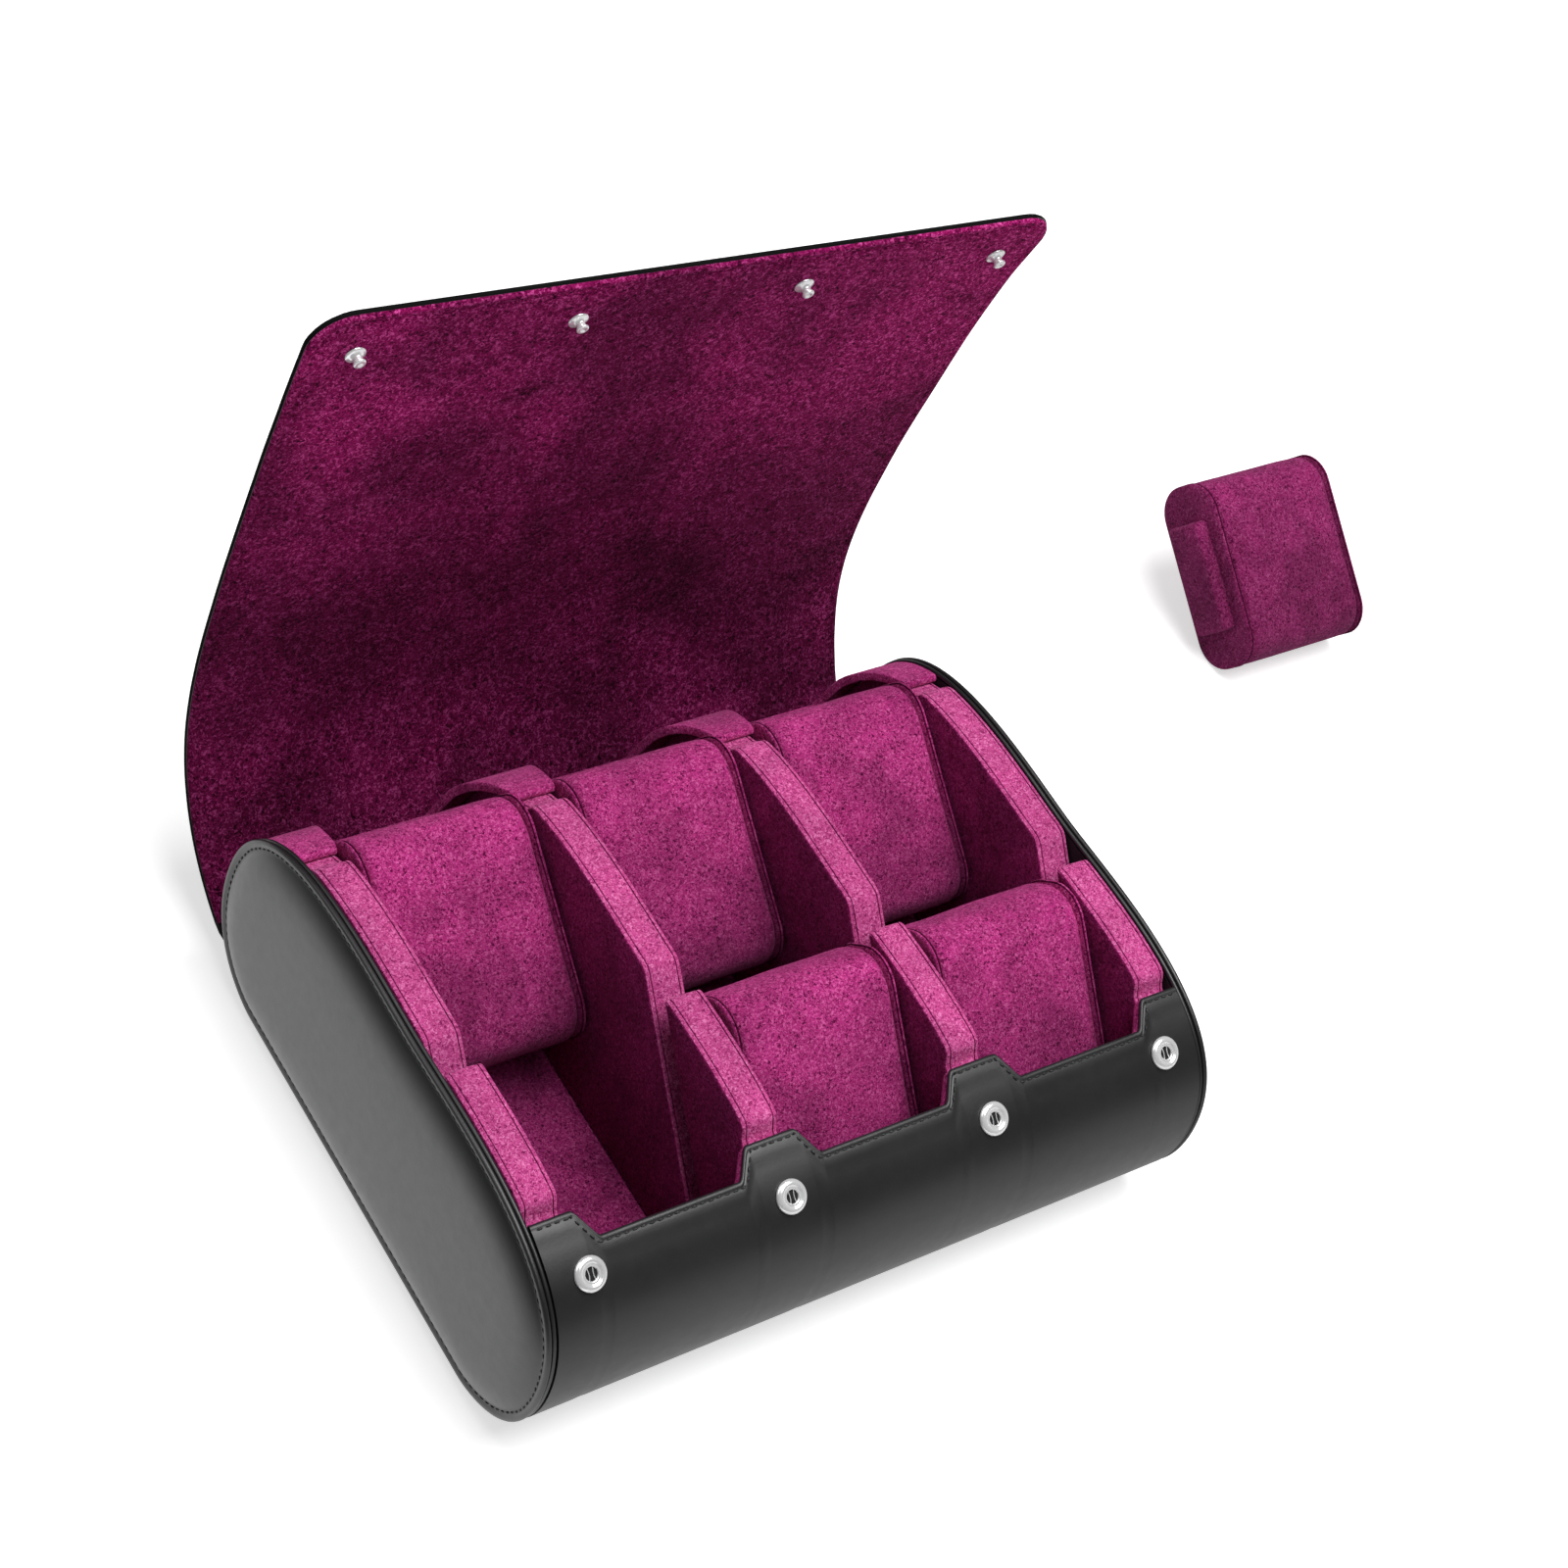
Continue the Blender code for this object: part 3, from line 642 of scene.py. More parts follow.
def buildFrontLining():
    rings = []
    total = wrapPath["total"] - 0.5
    low, high = lining["from"], lining["to"]
    mid = (low + high) / 2
    count = round((total - 3) / lining["rowStep"])
    for x in columnsFor(rim):
        top = softRim(rim, x) + 0.25
        rows = [top + 1.6 + (total - top - 1.6) * i / count for i in range(count + 1)]
        line = [(top, mid), (top + 0.12, mid - 0.75), (top + 0.45, low + 0.28), (top + 0.9, low)]
        line += [(s, low) for s in rows] + [(s, high) for s in reversed(rows)]
        line += [(top + 0.9, high), (top + 0.45, high - 0.28), (top + 0.12, mid + 0.75)]
        rings.append(pathRing(wrapPath, x, line))
    settle(loft("frontLining", rings, suede, sharp=70), "case", "magenta_suede", "inner_lining",
           "shell_board")


# rear wall: a stiff suede panel with tabs behind the dividers
rear = {"low": 2.7, "high": 0.8, "thickness": 2.8, "top": 72.2, "lowRun": 37.0, "rowStep": 3.0,
        "tabHalf": 7.4, "endTab": 16.0, "cornerIn": 3, "cornerUp": 30, "offsetUp": 20,
        "flare": [(0.0, 0.0), (0.3, 4.0), (0.8, 8.0), (1.7, 12.0), (3.0, 17.0), (4.7, 24.0)]}


def rearLine(lowOffset, highOffset, top):
    low, high = insetRing(outline, lowOffset), insetRing(outline, highOffset)
    points = []
    for i in range(1, len(outline) // 2):
        if outline[i].x < case["halfBase"] - rear["cornerIn"] and outline[i].y < rear["cornerUp"]:
            continue
        point = low[i].lerp(high[i], min(1.0, max(0.0, outline[i].y / rear["offsetUp"])))
        if point.y > top:
            a = points[-1]
            points.append(a.lerp(point, (top - a.y) / (point.y - a.y)))
            break
        points.append(point)
    return points


def buildRearWall():
    path = makePath(resample(rearLine(rear["low"], rear["high"], rear["top"] + 2), 1.0))
    heights = [onPath(path, s)[0].y for s in path["lengths"]]

    def lengthAt(z):
        return next(s for s, value in zip(path["lengths"], heights) if value > z)

    tall = lengthAt(rear["top"])
    drop = tall - lengthAt(rear["lowRun"])
    # beside each tab the rim drops in a round cut, behind the cushion
    half, x = case["halfLength"], case["pitch"] / 2
    bend = rear["flare"] + [(8.0, drop)]
    right = [(x - rear["tabHalf"] - d, s) for d, s in reversed(bend)]
    right += [(x + rear["tabHalf"] + d, s) for d, s in bend]
    right += [(half - rear["endTab"] - d, s) for d, s in reversed(bend)] + [(case["shellHalf"], 0)]
    line = [(-a, s) for a, s in reversed(right)] + right
    rings = []
    mid = rear["thickness"] / 2
    for x in columnsFor(line):
        top = tall - softRim(line, x)
        count = round(tall / rear["rowStep"])
        rows = [(top - 1.6) * i / count for i in range(count + 1)]
        ring = [(s, 0.0) for s in rows]
        ring += [(top - 0.9, 0.02), (top - 0.35, 0.35), (top - 0.05, mid - 0.5), (top, mid),
                 (top - 0.05, mid + 0.5), (top - 0.35, 2 * mid - 0.35), (top - 0.9, 2 * mid)]
        ring += [(s, 2 * mid) for s in reversed(rows)]
        rings.append(pathRing(path, x, ring))
    settle(loft("rearWall", rings, suede, sharp=70), "case", "magenta_suede", "rear_wall")


# dividers and end panels: stiff boards wrapped in suede, with a seam near each edge
divider = {"slope": 44.0, "rearFront": -2.0, "frontBack": -13.0, "tipHeight": 5.0,
           "tipWidth": 10.0, "offset": 5.2, "floor": 5.2, "rearOffset": 3.9, "rearLow": 5.8,
           "clearance": 0.3, "rimSetback": 60.4, "rearTop": 70.7}
seamProfile = [(0.0, 0.95), (0.10, 0.62), (0.35, 0.30), (0.8, 0.06), (1.2, 0.0), (1.45, 0.03),
               (1.6, 0.40), (1.75, 0.40), (1.9, 0.03), (2.3, -0.03), (4.2, -0.12)]


rimTop = case["height"] - divider["clearance"]
rise = math.tan(math.radians(divider["slope"]))


def slantDepth(start, z):
    return start - (rimTop - z) / rise


def slantHeight(start, y):
    return rimTop - (start - y) * rise


def rearDividerOutline():
    half = len(outline) // 2
    inside = insetRing(outline, divider["offset"])
    rimRing = insetRing(outline, divider["clearance"])
    base = [Vector((0, divider["floor"]))]
    for point in reversed(inside[half:]):
        if point.x < -0.5:
            if slantHeight(divider["rearFront"], point.x) <= point.y + divider["tipHeight"]:
                break
            base.insert(0, point)
    back = rearLine(divider["rearLow"], divider["rearOffset"], divider["rearTop"])
    rimPoints = [p for p in rimRing[:half] if p.y > rear["top"] + 0.8 and 0 < p.x < back[-1].x]
    tip = Vector((base[0].x, slantHeight(divider["rearFront"], base[0].x)))
    top = Vector((divider["rearFront"], rimTop))
    return [tip] + base + [p for p in back if p.y > divider["floor"] + 0.4] + rimPoints + [top]


def frontDividerOutline():
    half = len(outline) // 2
    inside = insetRing(outline, divider["offset"])[half:]
    rimRing = insetRing(outline, divider["clearance"])[half:]
    wall = []
    for point in inside:
        if point.x > -divider["rimSetback"]:
            continue
        if slantDepth(divider["frontBack"], point.y) - point.x < divider["tipWidth"]:
            break
        wall.append(point)
    rimPoints = [p for p in rimRing if p.y > case["height"] / 2
                 and -divider["rimSetback"] < p.x < divider["frontBack"] - 2]
    top = Vector((divider["frontBack"], rimTop))
    tip = Vector((slantDepth(divider["frontBack"], wall[-1].y), wall[-1].y))
    return [top] + rimPoints + wall + [tip]


def softened(points, rounds=5):
    ring = resample(points, 1.0, closed=True)
    for _ in range(rounds):
        ring = [(ring[i - 1] + ring[i] * 2 + ring[(i + 1) % len(ring)]) / 4
                for i in range(len(ring))]
    return ring


def tightInset(ring, distance):
    # insets the ring, but less where it turns so tightly that its line would cross itself
    count = len(ring)
    limits = []
    for i in range(count):
        before = ring[i] - ring[i - 3]
        after = ring[(i + 3) % count] - ring[i]
        turn = math.atan2(before.x * after.y - before.y * after.x, before.dot(after))
        reach = (before.length + after.length) / 2
        limits.append(0.55 * reach / turn if turn > 0.05 else 20.0)
    out = []
    for i, p in enumerate(ring):
        limit = min(limits[(i + k) % count] for k in range(-2, 3))
        way = (ring[(i + 1) % count] - ring[i - 1]).normalized()
        out.append(p + leftOf(way) * min(distance, limit))
    return out


def buildDivider(name, points, fromX, toX, node):
    ring = softened(points)
    area = sum(a.x * b.y - b.x * a.y for a, b in zip(ring, ring[1:] + ring[:1]))
    if area < 0:
        ring.reverse()
    width = toX - fromX
    levels = [(fromX + d, e) for d, e in seamProfile] + [(fromX + width / 2, -0.16)]
    levels += [(toX - d, e) for d, e in reversed(seamProfile)]
    rings = [[(x, p.x, p.y) for p in tightInset(ring, e)] for x, e in levels]
    piece = loft(name, rings, litBandSuede, sharp=60)
    # all but the top edge gets the darker copy, painted shade for the slots
    piece.data.materials.append(shadedSideSuede)
    for face in piece.data.polygons:
        if abs(face.normal.x) > 0.75 or face.normal.z < 0.25:
            face.material_index = 1
    settle(piece, "case", "magenta_suede", node)


def buildDividers():
    half, x, end = case["panel"] / 2, case["pitch"] / 2, case["shellHalf"]
    spans = (("LeftPanel", "left_panel", -end, -end + case["endPanel"]),
             ("LeftDivider", "left_divider", -x - half, -x + half),
             ("RightDivider", "right_divider", x - half, x + half),
             ("RightPanel", "right_panel", end - case["endPanel"], end))
    rearPoints, frontPoints = rearDividerOutline(), frontDividerOutline()
    for word, node, fromX, toX in spans:
        buildDivider("rear" + word, rearPoints, fromX, toX, "rear_" + node)
        buildDivider("front" + word, frontPoints, fromX, toX, "front_" + node)


buildFrontLining()
buildRearWall()
buildDividers()
print("lining and dividers done")


# end caps: padded oval ends with a rolled rim and a stitch line
cap = {"inner": 118.8, "seam": 2.7, "seamOut": 1.05, "weltCentre": 117.8, "weltRadius": 0.72,
       "weltInset": 0.9}
capProfile = [(0.0, 0.55), (0.10, 0.25), (0.35, 0.05), (0.8, 0.0), (1.2, 0.08), (1.5, 0.32),
              (1.66, 0.70), (1.70, 1.2), (1.60, 1.7), (1.30, 2.2), (1.05, 2.7), (1.15, 3.1),
              (1.60, 3.8), (2.20, 5.0), (2.90, 7.0), (3.48, 9.5), (3.90, 12.5)]
capDome = [(4.08, 0.88), (4.24, 0.72), (4.34, 0.55), (4.40, 0.35), (4.42, 0.15)]


def buildCap(side, word):
    fine = ovalOutline(1.2)
    inner = cap["inner"]
    rings = [[(side * (inner + d), p.x, p.y) for p in insetRing(fine, e)] for d, e in capProfile]
    centre = Vector((0, case["height"] * 0.46))
    for d, scale in capDome:
        rings.append([(side * (inner + d), *(centre + (p - centre) * scale))
                      for p in insetRing(fine, capProfile[-1][1])])
    settle(loft(word + "Cap", rings, leather, sharp=60), "case", "black_leather",
           word + "_end_cap")
    seam = insetRing(fine, cap["seam"])
    out = Vector((side, 0, 0))
    line = [(Vector((side * (inner + cap["seamOut"]), p.x, p.y)), out)
            for p in resample(seam + [seam[0]], 0.6)]
    stitchRow(word + "CapStitches", line, "case")
    ring = insetRing(fine, cap["weltInset"])
    tube = []
    for a in turns(12):
        x = side * (cap["weltCentre"] + cap["weltRadius"] * math.cos(a))
        tube.append([(x, p.x, p.y) for p in insetRing(ring, cap["weltRadius"] * math.sin(a))])
    settle(loft(word + "Welt", tube, leather, around=True), "case", "black_leather",
           word + "_welt")


for side, word in ((-1, "left"), (1, "right")):
    buildCap(side, word)
for node in ("left_end_board", "right_end_board"):
    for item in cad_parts[node].material_slots:
        item.material = board
print("end caps done")


# flap lid: one sheet of leather that runs on from the base, with a turned, stitched edge
lid = {"line": [(66, 0), (78, 3.2), (90, 7.8), (102, 14.8), (111.5, 23), (118.8, 32), (125, 42.5),
                (129.8, 54.5), (132.6, 67.5), (133.8, 81), (133.9, 95), (133.3, 109),
                (132.5, 123), (131.3, 137), (129.9, 151), (128.5, 165), (127, 179), (125.1, 193),
                (123, 207), (120.3, 221), (117.5, 235.5)],
       "twist": [(0, 0), (0, 0), (0, 0), (1.6, 0), (2.9, 0), (3.6, 0), (3.8, 0), (3.6, 0),
                 (3.4, 0), (3.4, 0), (3.5, 0), (3.7, 0), (3.9, 0), (4.2, 0), (4.6, 0),
                 (4.9, -0.1), (5.3, -0.4), (5.8, -0.8), (6.5, -1.4), (7.6, -2.1), (9.0, -3.0)],
       "narrow": 116.8, "wide": 119.6, "growFrom": 82.0, "growTo": 94.0, "corner": 13.0,
       "zone": 18.0, "thickness": 1.6, "rowStep": 3.0, "columnStep": 6.0, "liningInset": 0.4,
       "turnFrom": 91, "turnTo": 96, "liningFrom": 94, "stitchFrom": 98}
lidEdge = [(0.0, 0.72, 0.95), (0.1, 0.36, 1.28), (0.3, 0.12, 1.50), (0.6, 0.0, 1.58),
           (1.0, 0.0, 1.6), (3.5, 0.0, 1.6)]
lidPath = makePath(throughPoints(lid["line"]))
lidTwist = makePath([Vector(p) for p in lid["line"]])


# a place on the lid and the way to its inside; the left side stands further back
def lidSpot(x, s, h):
    spot, inside = onPath(lidPath, s, h)
    k, t = locate(lidTwist["lengths"], s * lidTwist["total"] / lidPath["total"])
    turn = Vector(lid["twist"][k]).lerp(Vector(lid["twist"][k + 1]), min(max(t, 0), 1))
    spot = spot - turn * (x / lid["wide"])
    return Vector((x, spot.x, spot.y)), Vector((0, inside.x, inside.y))


def smooth(a, b, value):
    t = min(1.0, max(0.0, (value - a) / (b - a)))
    return t * t * (3 - 2 * t)


def lidHalf(s):
    y = onPath(lidPath, s)[0].x if s < 60 else 200
    return lid["narrow"] + (lid["wide"] - lid["narrow"]) * smooth(lid["growFrom"],
                                                                  lid["growTo"], y)


def roundedCorner(dx, ds, radius):
    # moves a point of the square corner onto the rounded one, keeping its distance to the edge
    zone, m = lid["zone"], min(dx, ds)
    if max(dx, ds) >= zone or m >= radius:
        return dx, ds
    leg, q = zone - m, radius - m
    t = (zone - ds) / leg if dx <= ds else 1 + (dx - m) / leg
    straight = leg - q
    run = t / 2 * (2 * straight + q * math.pi / 2)
    if run < straight:
        return m, zone - run
    if run > straight + q * math.pi / 2:
        return m + q + (run - straight - q * math.pi / 2), m
    a = (run - straight) / q
    return m + q - q * math.cos(a), m + q - q * math.sin(a)


def lidGrid(startS, edges):
    # rows of (x, s, distance to the edge) over the lid, from startS to its free edge
    total = lidPath["total"]
    zone = lid["zone"]
    margin = [d for d in edges if d < zone] + [zone * k for k in (0.4, 0.55, 0.7, 0.85, 1.0)
                                               if zone * k > edges[-1] + 0.5]
    count = round((total - zone - startS) / lid["rowStep"])
    rows = [startS + (total - zone - startS) * i / count for i in range(count)]
    rows += [total - d for d in reversed(margin)]
    across = round(2 * (lid["wide"] - zone) / lid["columnStep"])
    grid = []
    for s in rows:
        half = lidHalf(s)
        ds = total - s
        inner = half - zone
        line = [(-1, d) for d in margin] + [(0, -inner + 2 * inner * i / across)
                                            for i in range(1, across)]
        line += [(1, d) for d in reversed(margin)]
        row = []
        for side, value in line:
            if side == 0:
                row.append((value, s, min(half - abs(value), ds)))
            else:
                dx, dy = roundedCorner(value, ds, lid["corner"])
                row.append((side * (half - dx), total - dy, min(value, ds)))
        grid.append(row)
    return grid


def between(table, value, column):
    for a, b in zip(table, table[1:]):
        if value <= b[0]:
            t = (value - a[0]) / (b[0] - a[0])
            return a[column] + (b[column] - a[column]) * t
    return table[-1][column]


def sheetMesh(name, grid, lowSide, highSide, material, sharp=60):
    # a closed sheet: two sides over one grid, joined round the edge
    rows, columns = len(grid), len(grid[0])
    faces = []
    verts = [lidSpot(x, s, layer(x, s, m))[0] for layer in (lowSide, highSide)
             for row in grid for x, s, m in row]
    size = rows * columns
    for r in range(rows - 1):
        for c in range(columns - 1):
            a = r * columns + c
            quad = (a, a + 1, a + columns + 1, a + columns)
            faces.append(quad[::-1])
            faces.append(tuple(i + size for i in quad))
    edge = list(range(columns))
    edge += [r * columns + columns - 1 for r in range(1, rows)]
    edge += [(rows - 1) * columns + c for c in range(columns - 2, -1, -1)]
    edge += [r * columns for r in range(rows - 2, 0, -1)]
    for a, b in zip(edge, edge[1:] + edge[:1]):
        faces.append((a, b, b + size, a + size))
    return addMesh(name, verts, faces, material, sharp)


def hingeBlend(piece):
    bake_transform(piece)


def lengthAtDepth(y):
    return next(s for s, p in zip(lidPath["lengths"], lidPath["points"]) if p.x >= y)


def buildLidLeather():
    turnFrom, turnTo = lengthAtDepth(lid["turnFrom"]), lengthAtDepth(lid["turnTo"])

    def inner(x, s, m):
        h = between(lidEdge, m, 2)
        return lid["thickness"] + (h - lid["thickness"]) * smooth(turnFrom, turnTo, s)

    piece = sheetMesh("lidLeather", lidGrid(0.5, [e[0] for e in lidEdge]),
                      lambda x, s, m: between(lidEdge, m, 1), inner, leather)
    # the cut edge is duller than the faces
    piece.data.materials.append(edgeLeather)
    for face in piece.data.polygons:
        if abs(face.normal.x) > 0.45 or (face.normal.z > 0.5 and face.center.z > 0.2):
            face.material_index = 1
    settle(piece, None, "black_leather", "lid_leather")
    hingeBlend(piece)


liningEdge = [(0.0, 1.64), (0.08, 2.1), (0.3, 2.55), (0.7, 2.86), (1.2, 2.92), (2.2, 2.74),
              (2.8, 2.6), (3.4, 2.74), (4.4, 2.9)]


def buildLidLining():
    inset = lid["liningInset"]
    start = lengthAtDepth(lid["liningFrom"])
    grid = [[p for p in row if p[2] >= inset - 1e-6]
            for row in lidGrid(start, [inset + e[0] for e in liningEdge])]

    def puff(x, s, m):
        h = between(liningEdge, m - inset, 1)
        wave = noise.noise(Vector((x / 55, s / 48, 3.1))) + 0.5 * noise.noise(
            Vector((x / 21, s / 24, 8.4)))
        return h + 0.22 * wave * smooth(0.0, 12.0, m - inset)

    grid = [row for row in grid if row]
    piece = sheetMesh("lidLining", grid, lambda x, s, m: 1.63, puff, liningSuede)
    settle(piece, None, "magenta_suede", "lid_lining")
    hingeBlend(piece)


def buildLidStitches():
    start = lengthAtDepth(lid["stitchFrom"])
    total, half, corner = lidPath["total"], lid["wide"], lid["corner"]
    for name, d, layer, sign, colour in (("lidStitches", 3.3, 2.6, 1, liningSuede),
                                         ("lidStitchesOutside", 1.9, 0.0, -1, thread)):
        q = corner - d
        line = [Vector((-(half - d), start)), Vector((-(half - d), total - corner))]
        line += [Vector((-(half - corner) - q * math.cos(a), total - corner + q * math.sin(a)))
                 for a in (math.pi / 2 * k / 12 for k in range(1, 13))]
        line += [Vector((-p.x, p.y)) for p in reversed(line)]
        places = (lidSpot(p.x, p.y, layer) for p in resample(line, 0.6))
        stitchRow(name, [(spot, inside * sign) for spot, inside in places], "lid", lift=0.05,
                  material=colour)


buildLidLeather()
buildLidLining()
buildLidStitches()
print("lid done")


# cushions: one padded body, swelled once and used for all six, with end pads and tabs
# place, tilt and how far the padding reaches past the solid's upper and lower ends
cushion = {"length": 70.0, "depth": 30.0, "width": 56.0, "radius": 12.0, "padInset": 0.4,
           "padThickness": 1.1, "tabLength": 41.0, "tabDepth": 16.0, "tabEnd": 30.3,
           "looseTabEnd": 34.5, "seam": 0.45, "farSeam": 0.22, "shrink": 0.5, "swell": 1.3,
           "voxel": 2.0, "pressure": 3.5, "tension": 20, "bending": 2, "moments": 20, "fill": 0.8}
cushionPlaces = {
    "rearLeft": ("cushion_rear_left", (-73.8, 42.9, 47.0), 33.0, (3.3, 3.6)),
    "rearMiddle": ("cushion_rear_middle", (0.0, 42.9, 47.0), 33.0, (3.3, 0.6)),
    "rearRight": ("cushion_rear_right", (73.8, 42.9, 47.0), 33.0, (3.3, 0.6)),
    "frontMiddle": ("cushion_front_middle", (0.0, -40.5, 49.6), 43.0, (0.8, 0.0)),
    "frontRight": ("cushion_front_right", (73.8, -40.5, 49.6), 43.0, (0.8, 0.0)),
    "loose": ("cushion_loose", (318.0, 107.0, 0.0), 33.0, (0.0, 0.0)),
}
bodyProfile = [(0.0, 9.0), (0.0, 5.0), (0.05, 2.6), (0.3, 1.4), (0.8, 0.6), (1.5, 0.15), (2.4, 0.0)]
padProfile = [(-0.6, 1.2), (-0.1, 0.5), (0.15, 0.1), (0.45, 0.0), (0.75, 0.2), (0.95, 0.7),
              (1.04, 1.5), (1.08, 3.2), (1.1, 5.5)]
tabProfile = [(0.0, 0.0), (1.2, 0.0), (1.5, 0.12), (1.72, 0.45), (1.8, 1.0)]


def roundedOval(length, depth, radius, steps, straight):
    # rounded oblong, with points along its straight sides too
    points = []
    for cu, cn, start in ((1, 1, 0), (-1, 1, 1), (-1, -1, 2), (1, -1, 3)):
        for i in range(steps + 1):
            angle = math.pi / 2 * (start + i / steps)
            points.append(Vector((cu * (length / 2 - radius) + radius * math.cos(angle),
                                  cn * (depth / 2 - radius) + radius * math.sin(angle))))
    out = []
    for k, (a, b) in enumerate(zip(points, points[1:] + points[:1])):
        out.append(a)
        if k % (steps + 1) == steps:
            out += [a.lerp(b, i / straight) for i in range(1, straight)]
    return out


def onCushion(x, p, spot, tilt, ends):
    ahead = Vector((math.cos(tilt), math.sin(tilt)))
    half = cushion["length"] / 2
    reach = ends[0] * smooth(0, half, p.x) - ends[1] * smooth(0, half, -p.x)
    place = Vector(spot[1:]) + ahead * (p.x + reach) + leftOf(ahead) * p.y
    return (spot[0] + x, place.x, place.y)


def sectionRings(profile, shape, half=0.0, sign=1, steps=(10, 9)):
    rings = []
    for d, e in profile:
        length, depth, radius = shape[0] - 2 * e, shape[1] - 2 * e, max(shape[2] - e, 0.6)
        rings.append((sign * (half + d), roundedOval(length, depth, min(radius, depth / 2 - 0.05),
                                                     *steps)))
    return rings


def swellBody():
    # the body's cover, filled until it is tight
    half, shrink = cushion["width"] / 2 - 0.3, cushion["shrink"]
    shape = (cushion["length"] - 2 * shrink, cushion["depth"] - 2 * shrink,
             cushion["radius"] - shrink / 2)
    profile = [(-half + d, e) for d, e in bodyProfile]
    profile += [(half * k / 4, 0.0) for k in range(-3, 4)]
    profile += [(half - d, e) for d, e in reversed(bodyProfile)]
    rings = [[(x, p.x, p.y) for p in ring] for x, ring in sectionRings(profile, shape)]
    body = loft("cushionCover", rings, shadedCushionSuede)
    remesh = body.modifiers.new("remesh", "REMESH")
    remesh.mode = "VOXEL"
    remesh.voxel_size = cushion["voxel"] * unit
    applyModifiers(body)
    start = [v.co.copy() for v in body.data.vertices]
    cloth = body.modifiers.new("cloth", "CLOTH")
    rules = cloth.settings
    rules.use_pressure = True
    rules.uniform_pressure_force = cushion["pressure"]
    rules.effector_weights.gravity = 0
    rules.tension_stiffness, rules.bending_stiffness = cushion["tension"], cushion["bending"]
    cloth.point_cache.frame_start, cloth.point_cache.frame_end = 1, cushion["moments"]
    for moment in range(1, cushion["moments"] + 1):
        bpy.context.scene.frame_set(moment)
    applyModifiers(body)
    bpy.context.scene.frame_set(1)
    limit = cushion["swell"] * unit
    for vertex, place in zip(body.data.vertices, start):
        move = vertex.co - place
        if move.length > limit:
            vertex.co = place + move.normalized() * limit
    smoothRound = body.modifiers.new("smooth", "SMOOTH")
    smoothRound.factor, smoothRound.iterations = 0.5, 2
    subdivision = body.modifiers.new("subdivision", "SUBSURF")
    subdivision.levels = subdivision.render_levels = 1
    applyModifiers(body)
    return body


def applyModifiers(piece):
    depsgraph = bpy.context.evaluated_depsgraph_get()
    mesh = bpy.data.meshes.new_from_object(piece.evaluated_get(depsgraph))
    old = piece.data
    piece.modifiers.clear()
    piece.data = mesh
    bpy.data.meshes.remove(old)
    mesh.polygons.foreach_set("use_smooth", [True] * len(mesh.polygons))


def buildCushion(name, node, spot, tilt, ends, cover, seed):
    tilt = math.radians(tilt)
    if spot[2] == 0:
        # a loose one stands on the floor
        radius = cushion["radius"]
        drop = ((cushion["length"] / 2 - radius) * math.sin(tilt)
                + (cushion["depth"] / 2 - radius) * math.cos(tilt) + radius)
        spot = (spot[0], spot[1], drop)

    def placed(*section):
        return [[onCushion(x, p, spot, tilt, ends) for p in ring]
                for x, ring in sectionRings(*section)]

    body = addObject(name + "Cushion", cover.data.copy())
    half = cushion["width"] / 2
    for vertex in body.data.vertices:
        co = vertex.co / unit
        lumps = noise.noise(Vector((co.x / 17, co.y / 15, co.z / 15 + 9.7 * seed)))
        pull = 0.35 * lumps * smooth(0, 9, half - abs(co.x))
        way = Vector((co.y, co.z)).normalized()
        x, y, z = onCushion(co.x, Vector((co.y, co.z)) + way * pull, spot, tilt, ends)
        vertex.co = mm((x, y, max(z, 0.12)))
    settle(body, "case", "magenta_suede", node)
    inset = cushion["padInset"]
    shape = (cushion["length"] - 2 * inset, cushion["depth"] - 2 * inset,
             cushion["radius"] - inset)
    base = half + cushion["padThickness"] - 0.3
    tabEnd = cushion["looseTabEnd"] if name == "loose" else cushion["tabEnd"]
    scale = (tabEnd - base) / tabProfile[-1][0]
    tabShape = (cushion["tabLength"], cushion["tabDepth"], 1.6)
    for side, word, seam in ((-1, "Left", cushion["seam"]), (1, "Right", cushion["farSeam"])):
        pad = loft("pad", placed(padProfile, shape, half, side), shadedCushionSuede, sharp=70)
        tab = loft("tab", placed([(d * scale, e) for d, e in tabProfile], tabShape, base, side,
                                 (4, 9)), shadedCushionSuede, sharp=70)
        piece = settle(joined(name + word + "Pad", [pad, tab]), "case", "magenta_suede",
                       node + "_" + word.lower() + "_pad")
        # seam tube between the body and the pad, near black: painted shade in the groove
        tube = placed([(seam * math.cos(a), 0.35 - seam * math.sin(a)) for a in turns(8)],
                      shape, half, side)
        settle(loft(name + word + "Seam", tube, shadedSeamSuede, around=True), "case", "magenta_suede")


cover = swellBody()
for seed, (name, (node, spot, tilt, ends)) in enumerate(cushionPlaces.items()):
    buildCushion(name, node, spot, tilt, ends, cover, seed)
bpy.data.objects.remove(cover)
print("cushions done")


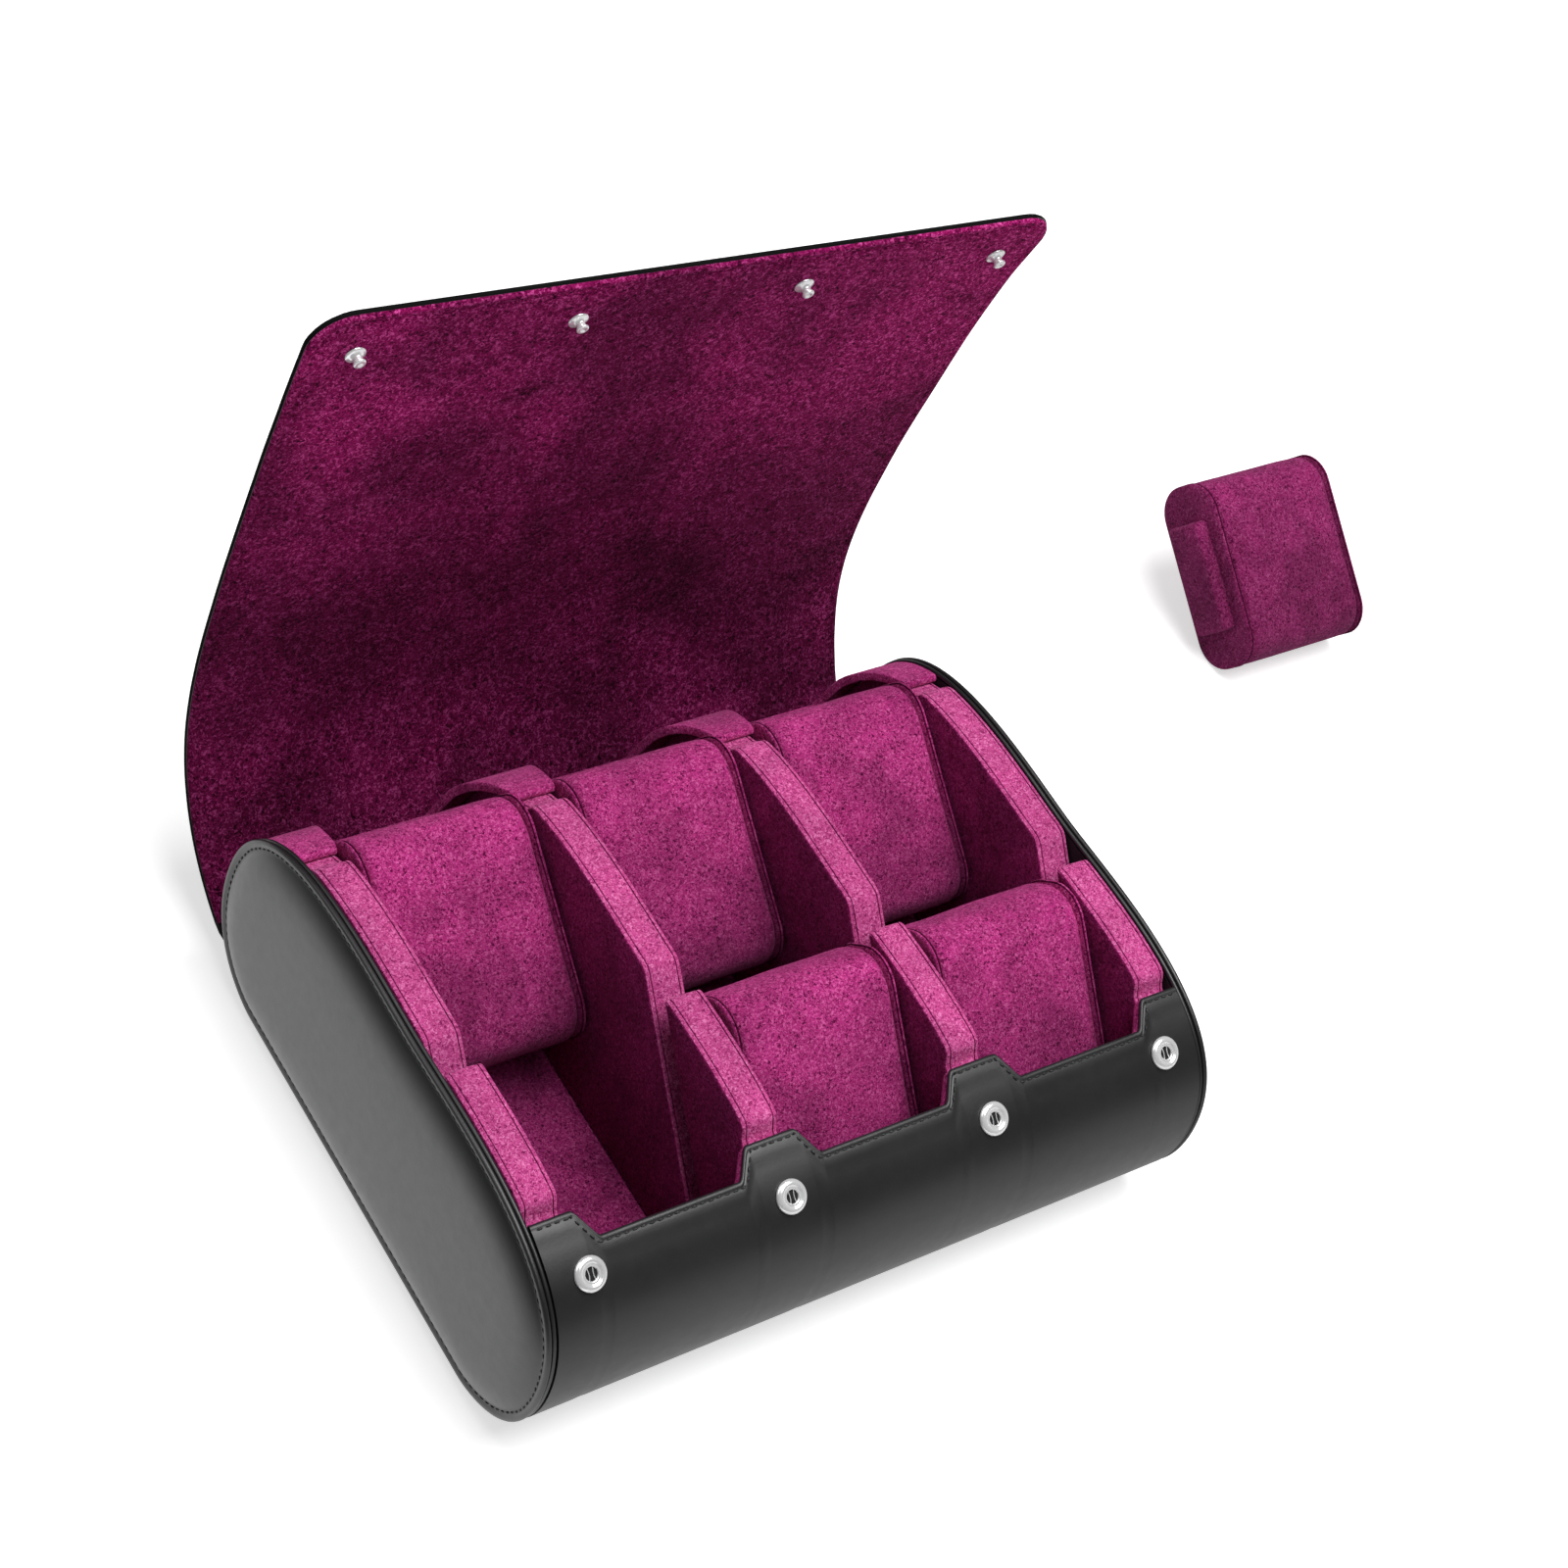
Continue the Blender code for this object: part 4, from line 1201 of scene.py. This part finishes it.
# snap fasteners: bare rings on the front, studs inside the lid, domed caps outside it
snap = {"inset": 15.7, "socketHeight": 68.0, "studFromEdge": 16.5, "steps": 48}
ringProfile = [(2.0, 0.2), (4.8, 0.0), (5.05, 0.12), (5.1, 0.45), (4.9, 0.85), (4.5, 1.2),
               (4.0, 1.42), (3.6, 1.45), (3.2, 1.3), (2.95, 1.05), (2.65, 0.98), (2.35, 1.1),
               (2.12, 1.05), (2.0, 0.85)]
wellProfile = [(2.05, 0.1), (2.05, 0.42), (1.9, 0.42), (0.1, 0.38), (0.1, 0.1)]
studProfile = [(0.05, 0.0), (2.9, 0.0), (3.05, 0.14), (3.0, 0.4), (2.7, 0.6), (2.3, 0.75),
               (1.95, 0.95), (1.7, 1.15), (1.45, 1.4), (1.35, 1.8), (1.35, 2.3), (1.55, 2.65),
               (1.8, 2.9), (1.85, 3.2), (1.65, 3.5), (1.2, 3.65), (0.75, 3.5), (0.4, 3.2),
               (0.05, 3.15)]
domeProfile = [(0.05, 0.0), (6.2, 0.0), (6.35, 0.12), (6.3, 0.4), (5.9, 0.8), (5.2, 1.15),
               (4.2, 1.45), (3.0, 1.66), (1.6, 1.78), (0.05, 1.8)]


def standOn(way):
    return Vector((0, 0, 1)).rotation_difference(way).to_matrix()


def turnedPiece(name, profile, spot, way, material):
    turn = standOn(way)
    rings = [[spot + turn @ Vector((r * math.cos(a), r * math.sin(a), h)) for r, h in profile]
             for a in turns(snap["steps"])]
    return loft(name, rings, material, around=True, sharp=50)


def wireTube(name, points, radius, material, steps=8):
    rings = []
    for p, way in zip(points, ways(points)):
        side = way.orthogonal().normalized()
        up = way.cross(side)
        rings.append([p + (side * math.cos(a) + up * math.sin(a)) * radius
                      for a in turns(steps)])
    return loft(name, rings, material)


def buildSnaps():
    end, middle = case["halfLength"] - snap["inset"], case["pitch"] / 2
    places = list(enumerate((-end, -middle, middle, end), 1))
    s = next(s for s, p in zip(wrapPath["lengths"], wrapPath["points"])
             if p.y <= snap["socketHeight"])
    for i, x in places:
        spot, out = wrapSpot(x, s, 0.0)
        turn = standOn(out)
        parts = [turnedPiece("ring", ringProfile, spot, out, chrome)]
        for sign in (-1, 1):
            wires = [spot + turn @ Vector((sign * (0.7 + 0.3 * t * t), 1.95 * t, 0.62))
                     for t in (k / 4 - 1 for k in range(9))]
            parts.append(wireTube("spring", wires, 0.16, chrome))
        settle(joined("snapRing%d" % i, parts), "case", "snap_chrome", "front_snap_socket_%d" % i)
        settle(turnedPiece("snapWell%d" % i, wellProfile, spot, out, board), "case",
               "black_board")
    s = lidPath["total"] - snap["studFromEdge"]
    for i, x in places:
        for word, profile, h, side in (("stud", studProfile, 2.9, 1), ("cap", domeProfile, 0, -1)):
            way = lidSpot(x, s + 2, h)[0] - lidSpot(x, s - 2, h)[0]
            across = lidSpot(x + 2, s, h)[0] - lidSpot(x - 2, s, h)[0]
            out = across.cross(way).normalized() * side
            place = lidSpot(x, s, h)[0] + out * 0.05
            settle(turnedPiece("snap%s%d" % (word.title(), i), profile, place, out, chrome),
                   "lid", "snap_chrome", "lid_snap_%s_%d" % (word, i))


buildSnaps()
print("snaps done")
